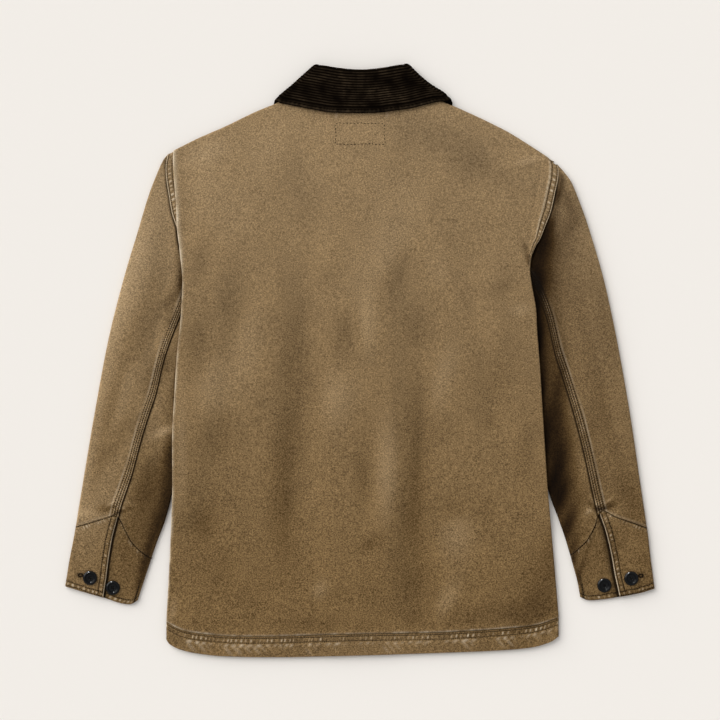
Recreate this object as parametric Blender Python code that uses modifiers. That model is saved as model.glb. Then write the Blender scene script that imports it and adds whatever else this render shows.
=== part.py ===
"""A canvas barn coat with a corduroy collar, laid flat on its front with its back up.

Every piece that is cut and sewn is one closed wall of cloth with its own name.
The tables are in millimetres, seen from above: x to the right, y towards the collar,
z up from the surface that the coat lies on. The finished meshes are in metres.
"""
import math

import bmesh
import bpy
import numpy as np

MM = 0.001

# Walls of cloth
CANVAS = 1.2
HEM_FOLD = 1.9
CUFF_FOLD = 1.6
FELL_FOLD = 1.0
FELL_HALF = 5.5
BESIDE_SEAM = 6.5
UNDER_CORD = 1.2
CORDUROY = 1.5
WALE_HEIGHT = 0.6
WALE_COUNT = 16

# Gaps that part the pieces
SEAM_GAP = 0.6
ROLL_SEAM = 0.9
COLLAR_GAP = 0.9
STRIP_GAP = 0.3

# Heights of the layers above the surface; LAYER is one wall with the air beside it
LAYER = 1.5
SHOULDER_HEIGHT = 6.4
TUCKED_HEIGHT = 4.6
CUFF_HEIGHT = 6.8
SLEEVE_LIFT = 6.4
COLLAR_LIFT = 3.5
PLACKET_LIFT = 3.3
PLACKET_STEP = 2.6
LAYER_ROOM = 1.8

# Where the fronts are held up: by the sleeves below them, the collar's leaves, the buttons
SLEEVE_ROOM = 64.0
ARMPIT_HEIGHT, ARMPIT_RAMP = 212.0, 105.0
WRIST_HEIGHT, WRIST_RAMP = -268.0, 62.0
NECK_MIDDLE, LEAF_REACH, LEAF_RAMP = 350.0, 208.0, 64.0
PLACKET_REACH, PLACKET_RAMP = 82.0, 48.0
PLACKET_END, PLACKET_END_RAMP = -360.0, 60.0
STEP_REACH, STEP_TOP, STEP_RAMP = 80.0, 345.0, 40.0

# Buttons
BUTTON_THICKNESS = 3.0
BUTTON_HOLE_RADIUS = 1.0
BUTTON_HOLE_PLACE = 1.9
BUTTON_STEPS = 18
BUTTON_PROFILE = (  # radius, height
    (0.0, 1.5), (5.6, 1.5), (7.4, 3.0), (9.2, 2.7), (10.0, 1.6), (8.8, 0.0), (0.0, 0.0),
)
PLAIN_PROFILE = ((0.0, 3.0), (9.0, 3.0), (10.0, 1.6), (8.8, 0.0), (0.0, 0.0))
FRONT_BUTTON_HEIGHTS = (268, 138, 8, -122, -252)
PLACKET_HALF = 22

# Sides of the back, from the shoulder along the armhole and the side seam to the hem
BACK_LEFT_SIDE = (  # x, y
    (-268, 290), (-271, 256), (-267.5, 231), (-264, 209), (-258, 188), (-254, 163),
    (-248.5, 135), (-247.5, 112), (-249.5, 88), (-251.5, 56), (-256.5, 7), (-260.5, -56),
    (-263, -105), (-263, -186), (-267, -275), (-271.7, -365),
)
BACK_RIGHT_SIDE = (  # x, y
    (272, 280), (275.7, 252), (273, 231), (267.3, 209), (259, 188), (251, 170),
    (243.5, 154), (238, 128), (240.7, 105), (246.3, 73), (247.7, 45), (252, -12),
    (257.5, -102), (262.6, -178), (271, -270), (278.5, -359),
)

# Shoulders and back neck, from the left shoulder end to the right one
BACK_TOP = (  # x, y
    (-268, 290), (-258, 296), (-225.5, 312.5), (-188, 329), (-152.7, 346), (-132, 354),
    (-121, 355.6), (-88, 374), (-50, 369), (0, 367), (50, 369), (88, 374), (124, 355.8),
    (137, 353.5), (173.5, 338), (207, 321), (233.7, 304), (259, 287), (272, 280),
)

# Seam above the hem band, and the hem's lower edge
HEM_SEAM = (  # x, y
    (-271.7, -365), (-256, -373.5), (-238, -378.5), (-200, -383), (-162.5, -384.7),
    (-106.5, -384.3), (0, -381), (78, -380), (137, -377.7), (196, -373.5), (245, -368),
    (278.5, -359),
)
HEM_EDGE = (  # x, y
    (-271.7, -390), (-265, -398), (-247, -405.7), (-218.5, -411), (-182, -414),
    (-106.5, -414.8), (0, -412.4), (78, -410), (176, -406.4), (235, -402), (264.5, -394.5),
    (278, -386),
)

# Front armhole and side of the left front, and the same of the right front
FRONT_LEFT_SIDE = (  # x, y
    (-268, 290), (-255, 262), (-240.5, 222), (-231.5, 180), (-228.5, 148), (-224.5, 117),
    (-219, 101), (-228, 93), (-240, 88), (-249.7, 82), (-251.5, 56), (-256.5, 7),
    (-260.5, -56), (-263, -105), (-263, -186), (-267, -275), (-271.7, -365),
)
FRONT_RIGHT_SIDE = (  # x, y
    (272, 280), (259, 255), (243.5, 218), (233.5, 178), (226.5, 146), (219.5, 116),
    (214, 101), (222, 93), (234, 86), (244.5, 80), (247.7, 45), (252, -12), (257.5, -102),
    (262.6, -178), (271, -270), (278.5, -359),
)

# Shoulder and front neck of the left front, from the shoulder end to the placket edge
FRONT_LEFT_TOP = (  # x, y
    (-268, 290), (-258, 296), (-225.5, 312.5), (-188, 329), (-152.7, 346), (-132, 354),
    (-121, 355.6), (-88, 374), (-76, 345), (-54, 316), (-22, 301), (22, 298),
)
FRONT_RIGHT_TOP = (  # x, y
    (272, 280), (259, 287), (233.7, 304), (207, 321), (173.5, 338), (137, 353.5),
    (124, 355.8), (88, 374), (76, 345), (54, 316), (22, 301), (-22, 298),
)

# One row of edges for each sleeve; each edge is a table of x, y
SLEEVES = {
    "left": {
        "outer": (
            (-269.3, 290), (-276, 282), (-284, 265), (-297, 231), (-312, 181), (-332, 114),
            (-353, 30), (-372, -71), (-389, -172), (-400, -239), (-406, -273), (-412.5, -314),
        ),
        "inner": (
            (-216, 91), (-226, 10), (-243, -95), (-263.5, -186), (-273, -222), (-285.7, -256),
            (-296.9, -289.5), (-308, -323), (-311.6, -335),
        ),
        "back_armhole": (
            (-269.3, 290), (-271.8, 256), (-268.3, 231), (-264.8, 209), (-258.8, 188),
            (-255, 164), (-243, 128), (-228, 104), (-216, 91),
        ),
        "front_armhole": (
            (-269.3, 290), (-258, 262), (-243, 222), (-234, 180), (-231, 146), (-227, 115),
            (-216, 91),
        ),
        "cuff_hem": (
            (-412.5, -314), (-382.3, -324.5), (-358, -332), (-336.7, -339), (-321.4, -340.6),
            (-311.6, -335),
        ),
        "felled_seam": (
            (-238, 124), (-250.7, 85.7), (-273, 31), (-283, -1), (-292.7, -41.7),
            (-304.5, -78), (-314.4, -114.5), (-324.4, -156.5), (-339.2, -200), (-343, -215.3),
            (-346, -226),
        ),
        "cuff_seam": (
            (-420, -238), (-397.3, -231.3), (-374.6, -224.4), (-354.9, -218.4), (-342.7, -215.3),
            (-335.2, -223), (-329, -236.3), (-320, -253), (-308, -265.7), (-295, -274.5),
            (-280, -280),
        ),
        "slit": (
            (-337, -205), (-340.3, -222.3), (-345.9, -246), (-351, -275.5), (-354.9, -303.5),
            (-359.4, -330.7), (-361, -345),
        ),
        "buttons": ((-378.1, -303.5), (-346.5, -317.5)),
    },
    "right": {
        "outer": (
            (273.3, 280), (285.5, 265), (297, 248), (310.5, 214.5), (322, 181), (341.5, 114),
            (360, 30), (378, -71), (393, -172), (403, -239), (406, -273), (412, -312.5),
        ),
        "inner": (
            (208, 92), (222, 10), (243, -95), (263.3, -179), (278.5, -222), (290, -256),
            (299.5, -289.5), (305, -310), (308.7, -330.7),
        ),
        "back_armhole": (
            (273.3, 280), (276.5, 252), (273.8, 231), (268.1, 209), (259.8, 188),
            (251.8, 170), (243.5, 150), (228, 115), (208, 92),
        ),
        "front_armhole": (
            (273.3, 280), (262, 255), (246, 218), (236, 178), (229, 146), (222, 114),
            (208, 92),
        ),
        "cuff_hem": (
            (412, -312.5), (391.9, -323.5), (361.8, -330), (340, -334), (320, -335),
            (308.7, -330.7),
        ),
        "felled_seam": (
            (232, 128), (243.5, 112), (254.7, 96), (267.3, 62), (278.5, 14.3), (286.9, -13.7),
            (298.9, -52.9), (309.3, -89.3), (319.6, -130.6), (330.3, -180.3), (337.3, -208.3),
            (341, -222),
        ),
        "cuff_seam": (
            (425, -240), (402, -232.8), (380, -225), (358.8, -217.7), (340.6, -209.3),
            (332.2, -218), (328.4, -230.7), (317.7, -250.3), (307.2, -261), (296.7, -269.9),
            (280, -277),
        ),
        "slit": (
            (332.5, -200), (336.6, -213.9), (346.6, -239), (354, -269.9), (358.8, -299.3),
            (364.8, -329.3), (367, -345),
        ),
        "buttons": ((379.7, -304.2), (342.2, -314)),
    },
}

# Where a sleeve's top layer goes down to lie under the body's side
SLEEVE_DIP = (  # share of the sleeve's length, share of its width from the outer edge
    (0.0, 0.50), (0.2, 0.55), (0.35, 0.66), (0.5, 0.80), (0.7, 0.95), (1.0, 1.0),
)

# Edges of the collar's fall over the back, and of the leaves under the fronts
COLLAR_FOLD = (  # x, y
    (-63, 413), (-52, 413.5), (-25, 409.5), (0, 408), (25, 409.5), (55, 414), (66, 415),
)
COLLAR_EDGE = (  # x, y
    (-122, 363), (-80, 354.5), (-56, 350), (-39, 347.5), (0, 346.8), (27, 347.5),
    (43, 350), (71, 353), (92, 360), (130, 360),
)
LEAF_FOLD = ((0.0, 63, 413), (0.5, 44, 365), (1.0, 16, 318))  # share, half width, y
COLLAR_POINT = (70, 245)
LEAF_END = (16, 318)
FALL_DEPTH, FALL_TOP_WIDTH, FALL_SPREAD = 61.0, 129.0, 123.0
LEAF_DEPTH, LEAF_LENGTH = 88.0, 110.0
SIDE_SLOPE = 0.65
BACK_AT_NECK = 8.4
STAND_NECK_HALF = 79.5
STAND_BELOW_FOLD = 4.4
STAND_FRONT_INSET = (5.4, 3.8)

# Largest folds: middle x, y, direction in degrees, half length, half width, height
BACK_FOLDS = (
    (-94, -30, 92, 210, 17, -1.5),
    (82, -120, 88, 200, 19, -1.4),
    (0, -160, 90, 90, 20, -1.0),
    (-34, 36, 80, 60, 16, -0.8),
    (36, -200, 84, 90, 16, 0.5),
    (140, -270, 100, 90, 22, -0.9),
    (-150, -300, 96, 90, 20, -0.9),
    (-175, 60, 70, 90, 22, -0.9),
    (170, 40, 108, 100, 22, -1.0),
    (150, 250, 150, 90, 20, -0.8),
)
SLEEVE_FOLDS = (  # share along, share across, direction, half length, half width, height
    (0.30, 0.55, 60, 60, 13, -1.3),
    (0.45, 0.62, 75, 70, 12, -1.2),
    (0.52, 0.35, 110, 50, 12, 0.4),
    (0.62, 0.78, 70, 60, 12, -1.0),
    (0.18, 0.30, 50, 60, 15, -0.9),
)

# Shoulder seams: their lean, where they start beside the neck, and the body's length below
SHOULDER_LEAN, NECK_POINT, BODY_LENGTH = 0.9, 92.0, 670.0

# Steps of the grids
ROLL_STEPS = np.radians((0, 32, 62, 90))
OPEN_EDGE = 6.0
BACK_COLUMNS = 20
BACK_ROWS = 22
FRONT_COLUMNS = 9
FRONT_ROWS = 20
SLEEVE_ROWS = 14
UNDERLAP = 9.0
LEAST_LEAN = 0.35
CUFF_TURNS_UNDER = 14

COLOURS = {  # base colour, roughness
    "canvas": ((0.20, 0.14, 0.085, 1.0), 0.9),
    "cuff canvas": ((0.21, 0.15, 0.09, 1.0), 0.9),
    "corduroy": ((0.012, 0.009, 0.006, 1.0), 0.85),
    "button": ((0.010, 0.010, 0.012, 1.0), 0.25),
}


def clear_scene():
    """Removes whatever the file holds, and gives the coat its own collection."""
    for thing in list(bpy.data.objects):
        bpy.data.objects.remove(thing, do_unlink=True)
    collection = bpy.data.collections.new("barn coat")
    bpy.context.scene.collection.children.link(collection)
    return collection


def finish_for(name, kind):
    """A plain Principled material with the piece's colour and roughness."""
    colour, roughness = COLOURS[kind]
    material = bpy.data.materials.new(name)
    material.use_nodes = True
    shader = material.node_tree.nodes["Principled BSDF"]
    shader.inputs["Base Color"].default_value = colour
    shader.inputs["Roughness"].default_value = roughness
    shader.inputs["Metallic"].default_value = 0.0
    return material


def ease(value):
    """A soft step from 0 to 1 while the value goes from 0 to 1."""
    step = np.clip(value, 0.0, 1.0)
    return step * step * (3.0 - 2.0 * step)


def soft_line(points):
    """Many points on a soft curve through a table's points."""
    knots = np.asarray(points, float)
    ends = (2 * knots[:1] - knots[1:2], knots, 2 * knots[-1:] - knots[-2:-1])
    guide = np.vstack(ends)
    step = np.linspace(0.0, 1.0, 12, endpoint=False)[:, None]
    spans = []
    for before, start, end, after in zip(guide, guide[1:], guide[2:], guide[3:]):
        bend = 2 * before - 5 * start + 4 * end - after
        twist = 3 * start - before - 3 * end + after
        spans.append(start + 0.5 * ((end - before) * step + bend * step**2 + twist * step**3))
    return np.vstack(spans + [knots[-1:]])


class Edge:
    """A soft line through a table's points, read at a share of its length or its width."""

    def __init__(self, points, by_width=False):
        self.line = soft_line(points)
        steps = np.diff(self.line, axis=0)
        pace = np.abs(steps[:, 0]) if by_width else np.hypot(steps[:, 0], steps[:, 1])
        run = np.concatenate(([0.0], np.cumsum(pace)))
        self.share = run / run[-1]

    def at(self, share):
        """The x and y of the line's points at the given shares."""
        places = [np.interp(share, self.share, self.line[:, axis]) for axis in (0, 1)]
        return np.stack(places, axis=-1)


class Patch:
    """A piece's outline as four edges, and every place between them."""

    def __init__(self, top, bottom, first, last):
        self.top, self.bottom, self.first, self.last = top, bottom, first, last

    def at(self, across, down):
        """Places at a share across from the first edge and a share down from the top."""
        across, down = np.broadcast_arrays(across, down)
        over, below = across[..., None], down[..., None]
        between = (1 - below) * self.top.at(across) + below * self.bottom.at(across)
        beside = (1 - over) * self.first.at(down) + over * self.last.at(down)
        high = (1 - over) * self.top.at(0.0) + over * self.top.at(1.0)
        low = (1 - over) * self.bottom.at(0.0) + over * self.bottom.at(1.0)
        return between + beside - (1 - below) * high - below * low


def fold_height(places, folds):
    """Sum of the soft troughs and ridges that the fold tables name."""
    height = np.zeros(places.shape[:-1])
    for x, y, direction, half_length, half_width, rise in folds:
        turn = math.radians(direction)
        along = (places[..., 0] - x) * math.cos(turn) + (places[..., 1] - y) * math.sin(turn)
        across = (places[..., 1] - y) * math.cos(turn) - (places[..., 0] - x) * math.sin(turn)
        height += rise * np.exp(-(along / half_length) ** 2 - (across / half_width) ** 2)
    return height


SLEEVE_BED = {side: Edge(SLEEVES[side]["inner"]).line for side in SLEEVES}


def lift(places):
    """How high the fronts' outer face is held by sleeves, collar leaves and buttons."""
    x, y = places[..., 0], places[..., 1]
    held = np.zeros(x.shape)
    for side, sign in (("left", -1), ("right", 1)):
        bed = SLEEVE_BED[side][::-1]
        inner_edge = np.interp(y, bed[:, 1], bed[:, 0] * sign)
        reach = ease((x * sign - inner_edge + SLEEVE_ROOM) / PLACKET_RAMP)
        span = ease((ARMPIT_HEIGHT - y) / ARMPIT_RAMP) * ease((y - WRIST_HEIGHT) / WRIST_RAMP)
        held += (SLEEVE_LIFT * reach * span) ** 4
    from_neck = np.hypot(x, y - NECK_MIDDLE)
    held += (COLLAR_LIFT * ease((LEAF_REACH - from_neck) / LEAF_RAMP)) ** 4
    placket = ease((PLACKET_REACH - np.abs(x)) / PLACKET_RAMP)
    held += (PLACKET_LIFT * placket * ease((y - PLACKET_END) / PLACKET_END_RAMP)) ** 4
    return held ** 0.25


def placket_step(x, y):
    """The right front's rise where it lies over the left front's placket."""
    return PLACKET_STEP * ease((STEP_REACH - x) / PLACKET_RAMP) * ease((STEP_TOP - y) / STEP_RAMP)


def back_height(places, hem=False):
    """Height of the back's outer face: a soft hill over all that lies below it."""
    step = placket_step(np.abs(places[..., 0]), places[..., 1])
    below = lift(places) + step + LAYER_ROOM
    room = SHOULDER_HEIGHT - 2 * LAYER
    height = 2 * LAYER + (room**6 + below**6) ** (1 / 6)
    folds = 0.0 if hem else fold_height(places, BACK_FOLDS)
    return height + folds


def cloth(name, kind, points, collection, wall=CANVAS, flip=False, raised=None):
    """A closed wall of cloth: a grid of points for the outer face, thickened inwards.

    raised holds, for each point of the outer face, how far it stands out of the wall.
    """
    rows, columns = points.shape[:2]
    build = bmesh.new()
    bmesh.ops.create_grid(build, x_segments=columns - 1, y_segments=rows - 1, size=1.0)
    for vertex, place in zip(build.verts, points.reshape(-1, 3) * MM):
        vertex.co = place
    if flip:
        bmesh.ops.reverse_faces(build, faces=build.faces[:])
    mesh = bpy.data.meshes.new(name)
    build.to_mesh(mesh)
    build.free()
    piece = bpy.data.objects.new(name, mesh)
    collection.objects.link(piece)
    mesh.materials.append(finish_for(name, kind))
    thick = piece.modifiers.new("wall", "SOLIDIFY")
    thick.thickness = wall * MM
    thick.offset = -1.0
    if raised is not None:
        raise_outer_face(piece, raised.reshape(-1) * MM)
    piece.data.shade_smooth()
    return piece


def raise_outer_face(piece, heights):
    """Moves the outer face's points out along their normals, over a plain inside."""
    normals = [vertex.normal.copy() for vertex in piece.data.vertices]
    bpy.context.view_layer.update()
    graph = bpy.context.evaluated_depsgraph_get()
    walled = bpy.data.meshes.new_from_object(piece.evaluated_get(graph))
    for vertex, normal, height in zip(walled.vertices, normals, heights):
        vertex.co += normal * float(height)
    walled.update()
    piece.modifiers.clear()
    piece.data = walled


def roll_columns(width, radius, soft, inner_count, both=True):
    """Shares across a row whose edges are rolled, and the fall of the roll at each.

    Where soft is 0 the edge is flat, and its columns stand OPEN_EDGE apart instead.
    """
    reach = soft * radius + (1 - soft) * OPEN_EDGE
    near = reach * (1 - np.cos(ROLL_STEPS)) / width
    drop = soft * radius * (1 - np.sin(ROLL_STEPS))
    last = 1 - near[:, ::-1] if both else np.ones((len(near), 1))
    inner = np.linspace(0, 1, inner_count + 2)[1:-1]
    middle = near[:, -1:] + (last[:, :1] - near[:, -1:]) * inner
    flat = np.zeros((len(near), inner_count))
    end = drop[:, ::-1] if both else np.zeros((len(near), 1))
    return np.hstack([near, middle, last]), np.hstack([drop, flat, end])


def half_height(places):
    """Half of the body's thickness at its edge, less half of the gap in the seam."""
    return (back_height(places) - lift(places)) / 2 - ROLL_SEAM


def make_back(collection):
    """The back: one wide panel whose shoulders and sides roll down to their seams."""
    top = Edge(BACK_TOP, by_width=True)
    bottom = Edge(HEM_SEAM, by_width=True)
    left, right = Edge(BACK_LEFT_SIDE), Edge(BACK_RIGHT_SIDE)
    outline = Patch(top, bottom, left, right)
    shoulder_roll = (SHOULDER_HEIGHT / 2) * (1 - np.cos(ROLL_STEPS)) / SHOULDER_LEAN / BODY_LENGTH
    rows = np.concatenate([shoulder_roll, np.linspace(0, 1, BACK_ROWS)[1:] ** 0.94])
    left_y = left.at(rows)[:, 1]
    soft = ease((165 - left_y) / 70)[:, None]
    width = (right.at(rows)[:, 0] - left.at(rows)[:, 0])[:, None]
    radius = half_height(left.at(rows))[:, None]
    across, side_drop = roll_columns(width, radius, soft, BACK_COLUMNS)
    down = np.broadcast_to(rows[:, None], across.shape)
    places = outline.at(across, down)
    on_shoulder = ease((np.abs(top.at(across)[..., 0]) - NECK_POINT) / 30)
    fall = np.zeros_like(across)
    fall[:4] = (1 - np.sin(ROLL_STEPS))[:, None]
    shoulder_drop = fall * on_shoulder * half_height(places)
    height = back_height(places) - side_drop - shoulder_drop
    points = np.dstack([places, height])
    cloth("back_panel", "canvas", points, collection, flip=True)
    make_hem("back_hem", places[-1], side_drop[-1] / radius[-1], collection)


def make_front(side, collection):
    """One front: armhole, side, shoulder, front neck and placket, its outer face down."""
    sign = -1 if side == "left" else 1
    table = FRONT_LEFT_SIDE if side == "left" else FRONT_RIGHT_SIDE
    neck = FRONT_LEFT_TOP if side == "left" else FRONT_RIGHT_TOP
    top, outer = Edge(neck), Edge(table)
    seam = Edge(HEM_SEAM, by_width=True)
    edge_x = -sign * PLACKET_HALF
    hem_line = seam.line if sign < 0 else seam.line[::-1]
    kept = hem_line[hem_line[:, 0] * sign > edge_x * sign]
    bottom = Edge(kept[::4])
    placket = Edge([(edge_x, neck[-1][1]), (edge_x, 100), (edge_x, kept[-1][1])])
    bottom.line[-1] = placket.line[-1]
    outline = Patch(top, bottom, outer, placket)
    shoulder_roll = (SHOULDER_HEIGHT / 2) * (1 - np.cos(ROLL_STEPS)) / SHOULDER_LEAN / BODY_LENGTH
    rows = np.concatenate([shoulder_roll, np.linspace(0, 1, FRONT_ROWS)[1:]])
    edge = outer.at(rows)
    soft = ease((80 - edge[:, 1]) / 30)[:, None]
    width = np.abs(placket.at(rows)[:, 0] - edge[:, 0])[:, None]
    radius = half_height(edge)[:, None]
    across, side_drop = roll_columns(width, radius, soft, FRONT_COLUMNS, both=False)
    down = np.broadcast_to(rows[:, None], across.shape)
    places = outline.at(across, down)
    on_shoulder = ease((np.abs(top.at(across)[..., 0]) - NECK_POINT) / 30)
    fall = np.zeros_like(across)
    fall[:4] = (1 - np.sin(ROLL_STEPS))[:, None]
    shoulder_drop = fall * on_shoulder * half_height(places)
    height = lift(places) + side_drop + shoulder_drop
    if side == "right":
        height = height + placket_step(places[..., 0], places[..., 1])
    points = np.dstack([places, height])
    name = f"front_{side}"
    cloth(name, "canvas", points, collection, flip=side == "right")
    make_hem(f"{name}_hem", places[-1], side_drop[-1] / radius[-1], collection, side)


def make_hem(name, panel_row, fall, collection, front_side=None):
    """A folded hem band that goes on from a panel's last row, rolled where the row is."""
    edge = Edge(HEM_EDGE, by_width=True).line
    lower = np.stack([panel_row[:, 0], np.interp(panel_row[:, 0], edge[:, 0], edge[:, 1])], -1)
    rows = np.linspace(0, 1, 3)[:, None, None]
    places = panel_row + (lower - panel_row) * rows
    places[0, :, 1] -= SEAM_GAP
    drop = fall * half_height(places)
    if front_side is None:
        height = back_height(places, hem=True) - drop
    else:
        height = lift(places) + drop
        if front_side == "right":
            height = height + placket_step(places[..., 0], places[..., 1])
    points = np.dstack([places, height])
    flip = front_side != "left"
    return cloth(name, "canvas", points, collection, HEM_FOLD, flip=flip)


def crossing(low, high, is_past):
    """Halves the range between low and high until it holds the place of a crossing."""
    for _ in range(30):
        middle = (low + high) / 2
        past = is_past(middle)
        low, high = np.where(past, low, middle), np.where(past, middle, high)
    return (low + high) / 2


class Sleeve:
    """A sleeve laid flat: a tube with a top and a bottom layer and two folded edges.

    A place on the tube is a share of its length and a turn: 0 at the inner fold,
    1 to 2 over the top layer, 3 at the outer fold, 4 to 5 under the bottom layer, 6 at
    the inner fold again. The cuff goes on as part of the same tube.
    """

    def __init__(self, side, collection):
        edges = SLEEVES[side]
        self.side, self.collection = side, collection
        self.sign = -1 if side == "left" else 1
        self.table = edges
        outer, inner = Edge(edges["outer"]), Edge(edges["inner"])
        hem = Edge(edges["cuff_hem"])
        self.outer, self.inner = outer, inner
        self.upper = Patch(Edge(edges["back_armhole"]), hem, outer, inner)
        self.lower = Patch(Edge(edges["front_armhole"]), hem, outer, inner)
        self.shares = np.linspace(0, 1, 121)
        self.seam_turn = self.turn_of("felled_seam")
        self.slit_turn = self.turn_of("slit")

    def flip(self, inside_out=False):
        """Whether a grid's faces must be turned to point out of the tube."""
        return (self.side == "left") == inside_out

    def width(self, share):
        """Distance between the folded edges."""
        gap = self.outer.at(share) - self.inner.at(share)
        return np.hypot(gap[..., 0], gap[..., 1])

    def lean(self, edge, share):
        """Sine of the angle between a row across the sleeve and one of its folded edges."""
        row = self.outer.at(share) - self.inner.at(share)
        run = edge.at(np.minimum(share + 0.01, 1.0)) - edge.at(np.maximum(share - 0.01, 0.0))
        turned = np.abs(row[..., 0] * run[..., 1] - row[..., 1] * run[..., 0])
        return np.maximum(turned / np.hypot(*row.T).T / np.hypot(*run.T).T, LEAST_LEAN)

    def top_height(self, share, across, places):
        """Height of the top layer, lower where the body's side lies on it."""
        dip = np.asarray(SLEEVE_DIP)
        low = np.interp(share, dip[:, 0], dip[:, 1])
        rise = SHOULDER_HEIGHT - TUCKED_HEIGHT
        height = TUCKED_HEIGHT + rise * ease((low - across) / 0.3)
        folds = []
        for along, over, direction, half_length, half_width, depth in SLEEVE_FOLDS:
            centre = self.upper.at(np.array(over), np.array(along))
            turn = direction if self.side == "left" else 180 - direction
            folds.append((centre[0], centre[1], turn, half_length, half_width, depth))
        calm = ease((share - 0.05) / 0.12) * ease((0.72 - share) / 0.08)
        calm = calm * ease((across - 0.06) / 0.2) * ease((low - across) / 0.06)
        return height + fold_height(places, folds) * calm

    def at(self, share, turn, height=None):
        """Points of the tube's outer face at shares of its length and turns."""
        share, turn = np.broadcast_arrays(share, np.mod(turn, 6.0))
        width = self.width(share)
        outer_roll, inner_roll = SHOULDER_HEIGHT / 2, TUCKED_HEIGHT / 2
        if height is not None:
            outer_roll = CUFF_HEIGHT / 2
        is_top = turn <= 3.0
        half = np.where(is_top, turn, 6.0 - turn)
        angle_in = np.clip(half, 0, 1) * math.pi / 2
        angle_out = np.clip(3.0 - half, 0, 1) * math.pi / 2
        from_in = 1 - inner_roll * (1 - np.cos(angle_in)) / width / self.lean(self.inner, share)
        to_out = outer_roll * (1 - np.cos(angle_out)) / width / self.lean(self.outer, share)
        flat = np.clip(half - 1, 0, 1)
        across = np.where(half < 1, from_in, from_in * (1 - flat) + to_out * flat)
        across = np.where(half > 2, to_out, across)
        above, below = self.upper.at(across, share), self.lower.at(across, share)
        places = np.where(is_top[..., None], above, below)
        face = self.top_height(share, across, places) if height is None else height
        face = np.where(is_top, face, 0.0)
        side = np.where(is_top, 1.0, -1.0)
        inner_face = inner_roll * (1 + side * np.sin(angle_in))
        outer_face = outer_roll * (1 + side * np.sin(angle_out))
        z = np.where(half < 1, inner_face, np.where(half > 2, outer_face, face))
        return np.concatenate([places, z[..., None]], axis=-1)

    def turn_of(self, name):
        """The turn at which the top layer crosses a line of the table, at each share."""
        line = Edge(self.table[name]).line
        line = line[np.argsort(line[:, 1])]

        def is_past(turn):
            spot = self.at(self.shares, turn)
            return spot[:, 0] * self.sign > np.interp(spot[:, 1], line[:, 1], line[:, 0]) * self.sign

        return crossing(np.ones(121), np.full(121, 2.0), is_past)

    def turn_per_mm(self, share):
        """How much the turn grows for a millimetre across a flat layer."""
        return 1.0 / (self.width(share) - (SHOULDER_HEIGHT + TUCKED_HEIGHT) / 2)

    def cuff_share(self, turn_at, gap):
        """Share of the length where each column meets the cuff seam, gap away from it."""
        line = Edge(self.table["cuff_seam"]).line
        line = line[np.argsort(line[:, 0])]
        ends = np.array([line[np.argmin(np.abs(line[:, 0] * self.sign - x))] for x in (400, 295)])
        ends = ends[np.argsort(ends[:, 0])]

        def is_past(share):
            turn = turn_at(share)
            spot = self.at(share, turn)
            top = np.interp(spot[:, 0], line[:, 0], line[:, 1])
            under = np.interp(spot[:, 0], ends[:, 0], ends[:, 1])
            level = np.where(np.mod(turn, 6.0) <= 3.0, top, under)
            return spot[:, 1] < level + gap

        count = len(turn_at(np.array(0.7)))
        return crossing(np.full(count, 0.5), np.full(count, 0.98), is_past)

    def panel(self, name, turn_at):
        """One wall of the tube from its armhole to the seam with the cuff."""
        end = self.cuff_share(turn_at, SEAM_GAP)
        down = np.linspace(0, 1, SLEEVE_ROWS)[:, None] ** 1.25
        turn = np.array([turn_at(row) for row in end * down])
        points = self.at(end * down, turn)
        name = f"{self.side}_{name}"
        cloth(name, "canvas", points, self.collection, CANVAS, self.flip())

    def upper_turns(self, share):
        """Columns of the upper sleeve: from the felled seam over the outer fold."""
        share = np.broadcast_to(share, (16,)) if np.ndim(share) == 0 else share
        pace = self.turn_per_mm(share)
        seam = np.interp(share, self.shares, self.seam_turn) + 0.5 * SEAM_GAP * pace
        beside = seam + BESIDE_SEAM * pace
        blend = np.array((0, 0, 0.22, 0.42, 0.61, 0.8, 1.0))
        top = beside + (2.0 - beside) * np.append(blend, np.zeros(9))
        top[0] = seam[0]
        rest = np.array((2.33, 2.67, 3.0, 3.33, 3.67, 4.0, 4.25, 4.5, 4.75))
        return np.where(np.arange(16) < 7, top, np.append(np.zeros(7), rest))

    def under_turns(self, share):
        """Columns of the under sleeve: from the bottom layer round the inner fold."""
        share = np.broadcast_to(share, (14,)) if np.ndim(share) == 0 else share
        pace = self.turn_per_mm(share)
        seam = np.interp(share, self.shares, self.seam_turn) - 0.5 * SEAM_GAP * pace
        beside = seam - BESIDE_SEAM * pace
        start = -1.25 + SEAM_GAP * pace
        blend = np.array((0, 0, 0, 0, 0, 0, 0, 0, 0.25, 0.5, 0.7, 0.86, 1.0, 1.0))
        top = 1.0 + (beside - 1.0) * blend
        top = np.where(np.arange(14) == 13, seam, top)
        low = np.array((0, -1.0, -0.67, -0.33, 0, 0.33, 0.67, 1.0, 0, 0, 0, 0, 0, 0))
        return np.where(np.arange(14) == 0, start, np.where(np.arange(14) < 8, low, top))

    def strip_turns(self, share):
        """Columns of the felled seam's fold, which lies over both panels' edges."""
        share = np.broadcast_to(share, (3,)) if np.ndim(share) == 0 else share
        pace = self.turn_per_mm(share)
        seam = np.interp(share, self.shares, self.seam_turn)
        return seam + np.array((-FELL_HALF, 0.0, FELL_HALF)) * pace

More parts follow.
